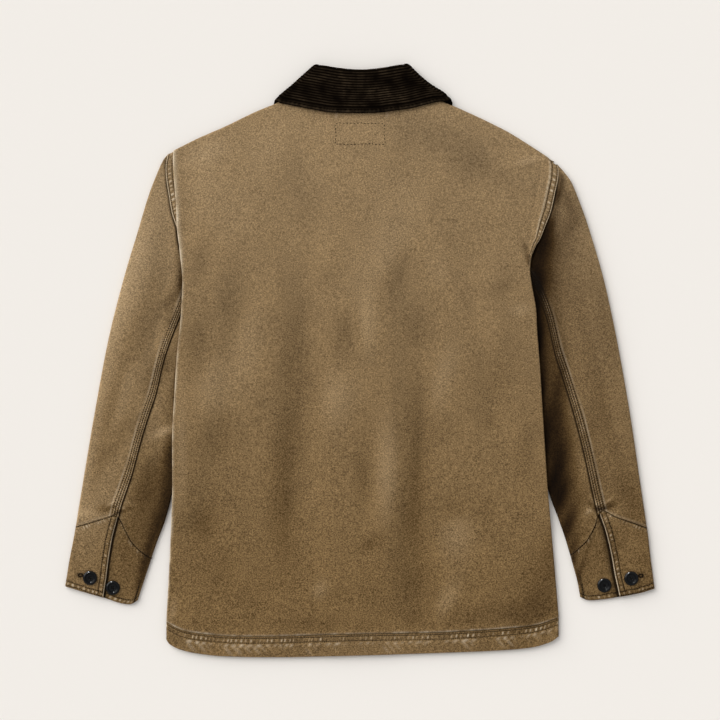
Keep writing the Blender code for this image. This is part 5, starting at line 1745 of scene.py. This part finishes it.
    def strip(self) -> Piece:
        """The felled seam: a raised strip with three rows of stitches and humps between.

        Its height over the sleeve is a flat top with rounded edges, less a groove along
        each row, plus the humps.

        Returns:
            The strip.
        """
        away = np.concatenate([[-6.2, -6.0, -5.6], np.arange(-5.0, 5.01, 0.5), [5.6, 6.0, 6.2]])
        shares = np.linspace(0.015, 0.88, 470)
        centre = self.at(shares, self.seam_at(shares))
        seam_end = Line(self.edges["cuff_seam"]).line
        seam_end = seam_end[np.argmax(seam_end[:, 1])]
        kept = centre[:, 1] > seam_end[1] - 1.0
        shares = shares[kept]
        turn = self.seam_at(shares)[:, None] + away[None, :] * self.turn_per_mm(shares)[:, None]
        points = self.at(np.broadcast_to(shares[:, None], turn.shape), turn)
        run = run_lengths(points, 0)[:, len(away) // 2][:, None]
        humps = Puckers(51 if self.side == "left" else 52, 3.4, 1.0, 0.2).at(run, away)
        groove = hill(away - 4.5, 0.8) + hill(away - 0.9, 0.8) + hill(away + 2.7, 0.8)
        between = hill(away - 2.7, 0.9) + hill(away + 0.9, 0.9) + hill(away + 4.6, 0.7)
        top = 1.45 * np.sqrt(np.maximum(1 - (np.abs(away) / 6.2) ** 6, 0)) - 0.3
        points[..., 2] += top + 0.3 * humps * between - 0.45 * groove
        down = ease((shares - 0.45) / 0.35)[:, None]
        # Wear on the humps; painted shade in the grooves, a painted shadow along one edge and a
        # painted highlight along the other, lower down
        wear_and_painted_light = 0.62 * between * humps - 0.1 * between * (1 - humps) - 0.45 * groove
        wear_and_painted_light = wear_and_painted_light - 1.4 * hill(away + 6.2, 1.3) + 0.5 * hill(away + 4.4, 0.6) * down
        piece = self.cloth("felled_strip", points, wear_and_painted_light, "felled_seam")
        for row in (-2.5, 1.0, 4.5):
            column = int(np.argmin(np.abs(away - row)))
            self.dots.row(points[:, column] + (0, 0, 0.02))
        return piece
    def cuff(self) -> None:
        """The cuff: one band round the wrist whose overlap lies above its underlap.

        Its height is the band's, plus the humps along the three seams, less the grooves
        along the rows and the rounded edges.
        """
        is_left = self.side == "left"
        start = self.cuff_share(self.cuff_turns, -0.1)
        share = start + (1.0 - start) * np.linspace(0, 1, self.cuff_rows)[:, None]
        turn = np.array([self.cuff_turns(row) for row in share])
        is_over, is_top = turn < -2.0, np.mod(turn, 6.0) <= 3.0
        is_under = is_top & ~is_over
        points = self.at(share, turn, np.where(is_over, CUFF_HEIGHT, TUCKED_HEIGHT))
        pace = self.turn_per_mm(share)
        run = turn / pace
        from_slit = np.where(is_over, (turn + 6.0 - self.slit_at(share)) / pace, FAR)
        from_top, from_hem = (share - start) * SLEEVE_LENGTH, (1.0 - share) * SLEEVE_LENGTH
        from_inner = np.where(is_under, (turn - 1.0) / pace, FAR)
        under_slit = np.where(is_under, (self.slit_at(share) - turn) / pace, FAR)
        puckers = Puckers(61 if is_left else 62, 6.0, 1.0, 0.3)
        hem_humps, top_humps = puckers.at(run, from_hem), puckers.at(run + 17, from_top)
        slit_humps = puckers.at(share * SLEEVE_LENGTH, from_slit)
        hem_band, top_band = hill(from_hem - 4.8, 1.9), hill(from_top - 4.6, 2.8)
        slit_band = hill(from_slit - 5.2, 1.7) * is_over
        near_edge = 1.3 * hill(from_inner - self.inner_row, 1.3) * ease((48 - from_hem) / 8)
        grooves = hill(from_hem - 8.0, 0.95) + is_over * hill(from_hem - 2.2, 0.8) + near_edge
        grooves = grooves + is_over * (hill(from_slit - 2.2, 0.8) + hill(from_slit - 8.3, 1.0))
        grooves = np.minimum(grooves + 0.7 * hill(from_top - 1.2, 0.7), 1.0)
        detail = 0.45 * (hem_humps * hem_band + top_humps * top_band + slit_humps * slit_band)
        detail = detail - 0.4 * grooves + 0.5 * hill(from_slit - 1.2, 1.6) * is_over
        drops = 1.3 * (1 - rounded(from_slit, 1.3)) * is_over + 1.1 * (1 - rounded(from_hem, 1.1))
        drops = drops + 0.7 * hill(from_top, 0.7) + 0.9 * ease((3.2 - under_slit) / 3.0)
        raised = detail + crumpled(points[..., :2]) * ease(from_slit / 6) - drops
        points[..., 2] += np.where(is_top, raised, np.maximum(-raised, 0) * 0.4)
        ticks = top_band * np.clip(0.6 + Crumple(63, 9.0, 26.0, 0.5).at(points[..., :2]), 0.1, 1.2)
        # Wear on the humps and ticks; painted shade between the ticks, along the inner edge, in the
        # grooves and at the seam's stitch dashes
        wear_and_painted_light = 1.05 * hem_humps * hem_band + 0.7 * top_humps * ticks + 0.9 * slit_humps * slit_band
        wear_and_painted_light = wear_and_painted_light - 0.3 * (1 - top_humps) * ticks - 0.45 * hill(from_inner - 0.8, 2.0)
        marks = dotted(np.where(grooves > 0, share * SLEEVE_LENGTH + run, 0.0))
        wear_and_painted_light = wear_and_painted_light - 0.34 * (hem_band + slit_band) - 1.1 * grooves * marks
        # Painted highlight on the slit's cut edge
        wear_and_painted_light = wear_and_painted_light + 2.4 * hill(from_slit - 0.4, 0.42) * is_over
        wear_and_painted_light = wear_and_painted_light - 0.95 * hill(from_top, 0.95) * dotted(run, 3.4)
        # Painted shadow on the underlap beside and under the slit, deeper on the right cuff
        depth = 0.2 if is_left else 0.55
        wear_and_painted_light = wear_and_painted_light - 1.4 * ease((3.4 - under_slit) / 1.4) - depth * hill(under_slit - 3, 5.0)
        # A darker ring and patch round each buttonhole: painted shade of its slot
        for x, y in self.edges["buttonhole"]:
            from_hole = np.hypot((points[..., 0] - x) / 1.4, points[..., 1] - y)
            wear_and_painted_light = wear_and_painted_light - 0.9 * hill(from_hole - 2.0, 1.0) - 0.35 * hill(from_hole, 5.0)
        piece = self.cloth("cuff_cloth", points, wear_and_painted_light * is_top, "cuff", self.cuff_wall)
        self.cuff_stitches(points, from_slit, from_hem, from_top, is_over & is_top, is_top)
        self.inner_stitches(points, from_inner, from_hem)
        for x, y in self.edges["buttonhole"]:
            angle = np.linspace(0, 2 * math.pi, 40)
            wide, tall = self.hole_size
            level = np.full(angle.shape, CUFF_HEIGHT + 0.25)
            ring = (x + wide * np.cos(angle), y + tall * np.sin(angle), level)
            self.dots.row(np.column_stack(ring))

    def inner_stitches(self, points: Points, from_inner: Points, from_hem: Points) -> None:
        """The row beside the inner fold, sewn in dark dots with the thread on top.

        Args:
            points: the cuff's rows and columns.
            from_inner: distances from the inner fold.
            from_hem: distances from the hem.
        """
        flat = np.flatnonzero(from_inner[self.cuff_rows // 2] < FAR - 1)[::-1]
        rows = np.flatnonzero((from_hem[:, 0] < 46) & (from_hem[:, 0] > 1))
        path = [[np.interp(self.inner_row, from_inner[row, flat], points[row, flat, axis])
                 for axis in range(3)] for row in rows]
        self.dots.row(np.array(path))
        self.sewing.row(np.array(path))

    def cuff_stitches(self, points: Points, from_slit: Points, from_hem: Points, from_top: Points,
                      over: Points, top: Points) -> None:
        """Rows of stitches beside the slit, above the hem and below the seam with the sleeve.

        Each row goes through the grid's points that are nearest to its distance.

        Args:
            points: the cuff's rows and columns.
            from_slit: distances from the slit's edge.
            from_hem: distances from the hem.
            from_top: distances from the seam with the sleeve.
            over: which points are on the overlap's top.
            top: which points are on the top layer.
        """
        for away in (2.2, 8.3):
            path = []
            for row in range(3, self.cuff_rows - 4):
                columns = np.flatnonzero(over[row])
                column = columns[np.argmin(np.abs(from_slit[row, columns] - away))]
                path.append(points[row, column])
            self.sewing.row(np.array(path))
        middle = self.cuff_rows // 2
        on_over = np.flatnonzero(over[middle])[2:-2]
        on_under = np.flatnonzero(top[middle] & ~over[middle])[2:-2]
        jobs = ((on_over, from_hem, 2.2, self.sewing), (on_over, from_hem, 8.0, self.sewing),
                (on_under, from_hem, 8.0, self.sewing), (on_over, from_top, 0.9, self.sewing),
                (on_under, from_top, 0.9, self.dots))
        for columns, distance, away, thread in jobs:
            nearest = np.argmin(np.abs(distance[:, columns] - away), axis=0)
            thread.row(points[nearest, columns])


def half_circle(start: Points, end: Points, outward: Points, steps: int) -> Points:
    """Joins the end points of two layers by a half circle, one layer over the other.

    Args:
        start: the upper layer's end points.
        end: the lower layer's end points.
        outward: the direction in which the half circle bulges.
        steps: how many points it has between the layers.

    Returns:
        The half circles' points, one row for each pair of end points.
    """
    middle, radius = (start + end) / 2, (start[..., 2] - end[..., 2]) / 2
    points = []
    for angle in np.linspace(math.pi / 2, -math.pi / 2, steps + 2)[1:-1]:
        share = (1 - math.sin(angle)) / 2
        point = start + (end - start) * share
        point = point + outward * (radius * math.cos(angle))[..., None]
        point[..., 2] = middle[..., 2] + radius * math.sin(angle)
        points.append(point)
    return np.stack(points, axis=1)


@dataclass
class Collar:
    """The turned-down corduroy collar: its fall over the back, its leaves under the fronts."""

    finishes: Finishes
    wales: int = 16
    rows_a_wale: int = 8
    wale_height: float = 0.85
    roll_rows: int = 10
    back_columns: int = 170
    leaf_columns: int = 60
    side_steps: int = 9
    wall: float = 1.1
    under_wall: float = 0.9

    def __post_init__(self) -> None:
        """Lays out the fall and the leaves."""
        fold, edge = Line(COLLAR_FOLD, True), Line(COLLAR_EDGE, True)
        left, right = Line(COLLAR_LEFT_SIDE), Line(COLLAR_RIGHT_SIDE)
        self.back = Patch(fold, edge, left, right)
        self.sides = {-1: left, 1: right}
        self.leaves = {sign: self.leaf(sign) for sign in (-1, 1)}

    def leaf(self, sign: int) -> Patch:
        """A leaf's outline: its top is the fold, its first edge the collar's side.

        Args:
            sign: -1 for the left leaf, 1 for the right one.

        Returns:
            The patch between the leaf's edges.
        """
        side = self.sides[sign]
        corner, tip = side.line[0], side.line[-1]
        flip = np.array((sign, 1))
        point, end = np.array(COLLAR_POINT) * flip, np.array(LEAF_END) * flip
        fold = (corner, np.array(LEAF_FOLD_MIDDLE) * flip, end)
        edge = (tip, (tip + point) / 2 - (0, 3), point)
        front = (end, (end + point) / 2, point)
        return Patch(Line(fold), Line(edge), side, Line(front))

    def outward(self, sign: int) -> Points:
        """Direction out of the collar's side edge: its run, turned by a quarter.

        Args:
            sign: -1 for the left side, 1 for the right one.

        Returns:
            A level unit vector.
        """
        run = self.sides[sign].line[-1] - self.sides[sign].line[0]
        out = np.array((-run[1], run[0])) * sign
        return np.append(out / np.hypot(*out), 0.0)

    def shell(self, rows: Points, inset: float, top_raise: float, leaf_height: float,
              roll_rows: int) -> Points:
        """Points of one layer: fold rows first, then the rows down the fall.

        Args:
            rows: shares down the fall.
            inset: how far the layer stays inside the collar's side edges.
            top_raise: its height above the back.
            leaf_height: its height above the floor in the leaves.
            roll_rows: how many rows go round the fold.

        Returns:
            Rows and columns: the left leaf, its side, the fall, the right side and leaf.
        """
        left, right = [], []
        near = inset + (top_raise + BACK_AT_NECK - leaf_height) / 2
        rolls = np.radians(np.linspace(-90, 90, roll_rows, endpoint=False))
        back_roll, leaf_roll = (top_raise + LAYER) / 2, (COLLAR_LIFT + LAYER) / 2
        turned = 1 - np.cos(rolls)
        back_down, leaf_down = (
            np.concatenate([turned * roll, roll + rows * (depth - roll)])
            for roll, depth in ((back_roll, FALL_DEPTH), (leaf_roll, LEAF_DEPTH)))
        fall = np.concatenate([1 - np.sin(rolls), np.zeros(len(rows))])
        width = FALL_TOP_WIDTH + FALL_SPREAD * back_down / FALL_DEPTH
        margin = (near / SIDE_SLOPE / width)[:, None]
        across = margin + (1 - 2 * margin) * np.linspace(0, 1, self.back_columns)
        places = self.back.at(across, (back_down / FALL_DEPTH)[:, None])
        height = back_height(places) + top_raise - (fall * back_roll)[:, None]
        back = np.dstack([places, height])
        leaf_across = np.linspace(near / LEAF_LENGTH, 1, self.leaf_columns)
        for sign, store in ((-1, left), (1, right)):
            spots = self.leaves[sign].at(leaf_across[None, :], (leaf_down / LEAF_DEPTH)[:, None])
            turned_up = (fall / 2)[:, None]
            level = leaf_height + turned_up * (lift(spots) + LAYER - 2 * leaf_height)
            leaf = np.dstack([spots, level])
            top_end = back[:, 0] if sign < 0 else back[:, -1]
            edge = half_circle(top_end, leaf[:, 0], self.outward(sign), self.side_steps)
            store.extend([leaf, edge])
        near_side = [left[0][:, ::-1], left[1][:, ::-1]]
        return np.concatenate([*near_side, back, right[1], right[0]], axis=1)

    def normals(self, points: Points) -> Points:
        """Unit normals of a grid, out of the collar: the cross product of its two slopes.

        Args:
            points: rows and columns of points.

        Returns:
            A vector for each point.
        """
        down, over = np.gradient(points, axis=0), np.gradient(points, axis=1)
        normal = np.cross(down, over)
        length = np.maximum(np.linalg.norm(normal, axis=-1), 1e-9)
        normal = normal / length[..., None]
        middle = normal[normal.shape[0] // 2, normal.shape[1] // 2, 2]
        return normal if middle > 0 else -normal

    def make(self) -> None:
        """Builds the corduroy layer with its wales, the under layer and the stand.

        A wale is the absolute value of a sine to the power of 0.55, raised along the
        normals and lower where the pile is crushed.
        """
        rows = np.linspace(0, 1, self.wales * self.rows_a_wale + 1)
        points = self.shell(rows, 0.0, 3.9, 0.0, self.roll_rows)
        round_fold = np.linspace(-1.6, 0, self.roll_rows, endpoint=False)
        phase = np.concatenate([round_fold, rows * self.wales])
        wale = np.abs(np.sin(math.pi * phase)) ** 0.55
        total = points.shape[1]
        edge_columns = self.leaf_columns + self.side_steps // 2
        index = np.arange(total)
        on_top = ease((np.minimum(index, total - 1 - index) - edge_columns + 6) / 6.0)
        places = points[..., :2]
        crushed = np.clip(0.78 + 0.6 * Crumple(71, 12.0, 50.0, 0.35, 20).at(places), 0.25, 1.25)
        raised = (wale[:, None] - 0.4) * self.wale_height * crushed * on_top
        last = hill(np.arange(len(points)) - (len(points) - 1), 2.5)[:, None]
        raised = raised * (1 - last) - 0.1 * last
        soft = Crumple(72, 30.0, 90.0, 0.3).at(places) * on_top
        # Lighter wale tops: worn pile and painted sheen, most in the middle; lighter beads above
        # the lower edge
        tops = np.clip((wale[:, None] - 0.72) / 0.28, 0, 1) * np.ones(total)
        from_edge = (1 - np.concatenate([np.zeros(self.roll_rows), rows])) * FALL_DEPTH
        sewn = hill(from_edge - 6.0, 1.1)[:, None] * on_top
        beads = Puckers(73, 5.0, 1.0, 0.0).at(index * 1.35, places[..., 1])
        raised = raised - 0.7 * sewn + 0.5 * beads * hill(from_edge - 3.2, 2.0)[:, None] * on_top
        wear_and_painted_light = tops * np.clip(crushed - 0.25, 0, 1) * (0.55 + 0.5 * hill(index - total / 2, 70.0))
        wear_and_painted_light = wear_and_painted_light * (1 - 0.9 * sewn) + 0.4 * beads * hill(from_edge - 2.6, 1.8)[:, None]
        points = points + self.normals(points) * raised[..., None]
        points[..., 2] += soft * (index > self.leaf_columns) * (index < total - self.leaf_columns)
        piece = self.layer("corduroy_collar", points, wear_and_painted_light * on_top + 0.2 * (1 - on_top),
                           "upper_collar", self.wall)
        inside = self.shell(np.linspace(0.045, 0.985, 20), 1.8, 2.1, 1.8, 0)
        under = self.layer("collar_under_layer", inside, np.full(inside.shape[:2], 0.1),
                           "under_collar", self.under_wall)
        self.stand()

    def layer(self, name: str, points: Points, wear_and_painted_light: Points, solid: str, wall: float) -> Piece:
        """One layer of corduroy from its points, wear, replaced node and thickness."""
        grid = Grid(points, weave_on(points), wear_and_painted_light, flip=True)
        return dressed(name, [grid], self.finishes.corduroy, solid, wall)

    def stand(self) -> Piece:
        """The band between the neck seam and the fold: the CAD solid, as it can't be seen.

        Returns:
            The solid, with the corduroy on it.
        """
        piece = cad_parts["collar_stand"]
        piece.data.materials.clear()
        piece.data.materials.append(self.finishes.corduroy)
        return piece


@dataclass
class Button:
    """A turned button with a rim, a dished middle and four holes.

    Its face is a height over the radius, read from a soft profile, less a pit at each
    hole: depth times (1 - ease of the distance from the hole's middle).
    """

    name: str
    node_name: str
    centre: Points
    up: float
    finishes: Finishes
    rings: int = 56
    spokes: int = 96
    holes: int = 4
    hole_circle: float = 1.95
    hole_depth: float = 1.3

    profile = ((0.0, 1.3), (2.8, 1.25), (5.3, 1.28), (5.9, 1.8), (6.5, 2.7), (7.2, 3.05),
               (8.0, 2.95), (9.3, 2.15), (10.0, 1.3), (9.8, 0.7), (9.0, 0.1), (8.0, 0.0),
               (0.0, 0.0))

    def make(self) -> Piece:
        """Builds the button on the place of its CAD node.

        Returns:
            The new object.
        """
        share = np.linspace(0, 1, self.rings)
        radius, height = Line(self.profile).at(share).T
        angle = np.linspace(0, 2 * math.pi, self.spokes + 1)
        x, y = radius[:, None] * np.cos(angle), radius[:, None] * np.sin(angle)
        z = np.broadcast_to(height[:, None], x.shape)
        upper = (share < 0.5)[:, None]
        for number in range(self.holes):
            turn = 2 * math.pi * (number + 0.5) / self.holes
            far = np.hypot(x - self.hole_circle * math.cos(turn),
                           y - self.hole_circle * math.sin(turn))
            z = z - np.where(upper, self.hole_depth * (1 - ease((far - 0.55) / 0.45)), 0.0)
        points = np.stack([x, y * self.up, z * self.up], -1) + self.centre
        grid = Grid(points, points[..., :2], np.zeros(x.shape))
        return dressed(self.name, [grid], self.finishes.button, self.node_name)


@dataclass
class Buttons:
    """Two buttons on each cuff and the row down the front."""

    finishes: Finishes
    thread: Sewing
    gap: float = 0.3
    half_cross: float = 1.9

    def make(self) -> None:
        """Builds all of the buttons, and the thread in the cuff buttons' holes."""
        for side in SLEEVES:
            for number, place in enumerate(SLEEVES[side]["buttons"]):
                height = (CUFF_HEIGHT if number == 0 else TUCKED_HEIGHT) + self.gap
                tail = "" if number == 0 else "_spare"
                centre = np.array((*place, height))
                Button(f"{side}_wrist_button{tail}", f"{side}_cuff_button{tail}", centre, 1.0,
                       self.finishes).make()
                self.cross(centre)
        for number, height in enumerate(FRONT_BUTTON_HEIGHTS, start=1):
            level = float(lift(np.array((0.0, height)))) - self.gap
            centre = np.array((0.0, height, level))
            Button(f"placket_button_{number}", f"front_button_{number}", centre, -1.0,
                   self.finishes).make()

    def cross(self, centre: Points) -> None:
        """Thread over the middle of a button, from hole to hole, a little arched.

        Args:
            centre: the middle of the button's lower face.
        """
        reach = np.linspace(-self.half_cross, self.half_cross, 9)
        arch = 1.6 + 0.25 * (1 - (reach / self.half_cross) ** 2)
        for angle in np.radians((45, 135)):
            path = np.column_stack([reach * np.cos(angle), reach * np.sin(angle), arch])
            self.thread.row(path + centre)


@dataclass
class LabelStitches:
    """The bare box of stitches below the collar that holds something inside the back."""

    sewing: Sewing
    left: float = -34.4
    right: float = 34.2
    top: float = 332.8
    bottom: float = 303.4

    def make(self, relief: Callable) -> None:
        """Sews the four sides on the back's surface.

        Args:
            relief: gives the back's height at places.
        """
        corners = ((self.left, self.top), (self.right, self.top), (self.right, self.bottom),
                   (self.left, self.bottom), (self.left, self.top))
        for start, end in zip(corners, corners[1:]):
            share = np.linspace(0, 1, 60)[:, None]
            spot = np.array(start) + (np.array(end) - np.array(start)) * share
            spot = spot + Crumple(81, 9.0, 24.0, 0.5).at(spot)[:, None]
            self.sewing.row(np.column_stack([spot, relief(spot) + 0.05]))


@dataclass
class Studio:
    """Floor, light and camera."""

    floor_colour: Row = (0.885, 0.856, 0.820)
    floor_half: float = 12000.0
    floor_level: float = -0.4
    sky: float = 0.55
    sky_colour: Row = (1.0, 0.99, 0.98)
    sun: float = 2.86
    sun_angle: float = 60.0
    sun_height: float = 30.0
    sun_side: float = 138.0
    sun_colour: Row = (1.0, 0.985, 0.96)
    glint: float = 3.2
    glint_angle: float = 5.0
    glint_height: float = 28.0
    glint_side: float = 112.0
    sensor: float = 36.0
    distance: float = 3.0
    coat_height: float = 0.008
    field_width: float = 1.008
    centre: tuple[float, float] = (-0.00014, 0.00168)

    def make(self) -> None:
        """Builds all of it."""
        self.floor()
        self.light()
        self.camera()

    def floor(self) -> None:
        """A wide, plain, pale floor, just below the coat."""
        corners = [(x * self.floor_half * MM, y * self.floor_half * MM, self.floor_level * MM)
                   for x, y in ((-1, -1), (1, -1), (1, 1), (-1, 1))]
        mesh = bpy.data.meshes.new("floor")
        mesh.from_pydata(corners, [], [(0, 1, 2, 3)])
        mesh.materials.append(Nodes("pale floor").finish(self.floor_colour, 0.95, 0.0))
        self.placed("floor", mesh)

    def placed(self, name: str, data: bpy.types.ID) -> Piece:
        """Makes an object of the scene.

        Args:
            name: its name.
            data: its mesh, lamp or camera.

        Returns:
            The object, linked into the scene.
        """
        made = bpy.data.objects.new(name, data)
        bpy.context.scene.collection.objects.link(made)
        return made

    def lamp(self, name: str, energy: float, angle: float, height: float, side: float) -> Piece:
        """A sun.

        Args:
            name: the lamp's name.
            energy: its strength.
            angle: its width in degrees, which softens its shadows.
            height: degrees above the floor.
            side: degrees round the coat.

        Returns:
            The lamp.
        """
        data = bpy.data.lights.new(name, "SUN")
        data.energy, data.angle = energy, math.radians(angle)
        made = self.placed(name, data)
        made.rotation_euler = (0.0, math.radians(90 - height), math.radians(side))
        return made

    def light(self) -> None:
        """An even sky, one wide soft light from the upper left and a small one for glints."""
        world = bpy.data.worlds.new("studio")
        world.use_nodes = True
        back = world.node_tree.nodes["Background"]
        back.inputs["Color"].default_value = (*self.sky_colour, 1.0)
        back.inputs["Strength"].default_value = self.sky
        bpy.context.scene.world = world
        key = self.lamp("key", self.sun, self.sun_angle, self.sun_height, self.sun_side)
        key.data.color = self.sun_colour
        small = self.lamp("glint", self.glint, self.glint_angle, self.glint_height,
                          self.glint_side)
        small.visible_diffuse = False

    def camera(self) -> None:
        """Straight above the coat, its collar up in the picture."""
        lens = bpy.data.cameras.new("camera")
        lens.sensor_width = self.sensor
        lens.lens = self.sensor * self.distance / self.field_width
        camera = self.placed("camera", lens)
        camera.location = (*self.centre, self.distance + self.coat_height)
        bpy.context.scene.camera = camera
        bpy.context.scene.view_settings.view_transform = "Standard"


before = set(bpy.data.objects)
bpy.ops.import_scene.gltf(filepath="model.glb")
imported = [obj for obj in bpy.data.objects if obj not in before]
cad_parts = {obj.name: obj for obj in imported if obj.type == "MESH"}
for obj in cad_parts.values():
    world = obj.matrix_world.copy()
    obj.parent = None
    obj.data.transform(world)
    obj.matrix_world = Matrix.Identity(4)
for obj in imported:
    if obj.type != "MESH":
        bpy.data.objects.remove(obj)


def main() -> None:
    """Builds the coat piece by piece, then the studio."""
    logging.basicConfig(level=logging.INFO, format="%(name)s: %(message)s")
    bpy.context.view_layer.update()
    finishes = Finishes.make()
    body_stitches = Sewing("body_stitches")
    sleeve_stitches = Sewing("sleeve_stitches", half_width=0.5)
    seam_dots = Sewing("felled_seam_stitches", pitch=3.3, share=0.55, half_width=1.0)
    button_thread = Sewing("button_thread", pitch=3.6, half_width=0.35)
    label_thread = Sewing("label_stitches", pitch=4.7, share=0.56, half_width=0.5)
    body = Body(finishes, body_stitches)
    body.make()
    LabelStitches(label_thread).make(body.relief)
    for side in SLEEVES:
        Sleeve(side, finishes, sleeve_stitches, seam_dots).make()
    Collar(finishes).make()
    Buttons(finishes, button_thread).make()
    for rows in (label_thread, body_stitches):
        rows.build(finishes.brown_thread)
    for rows in (sleeve_stitches, seam_dots, button_thread):
        rows.build(finishes.black_thread)
    Studio().make()


if __name__ == "__main__":
    main()
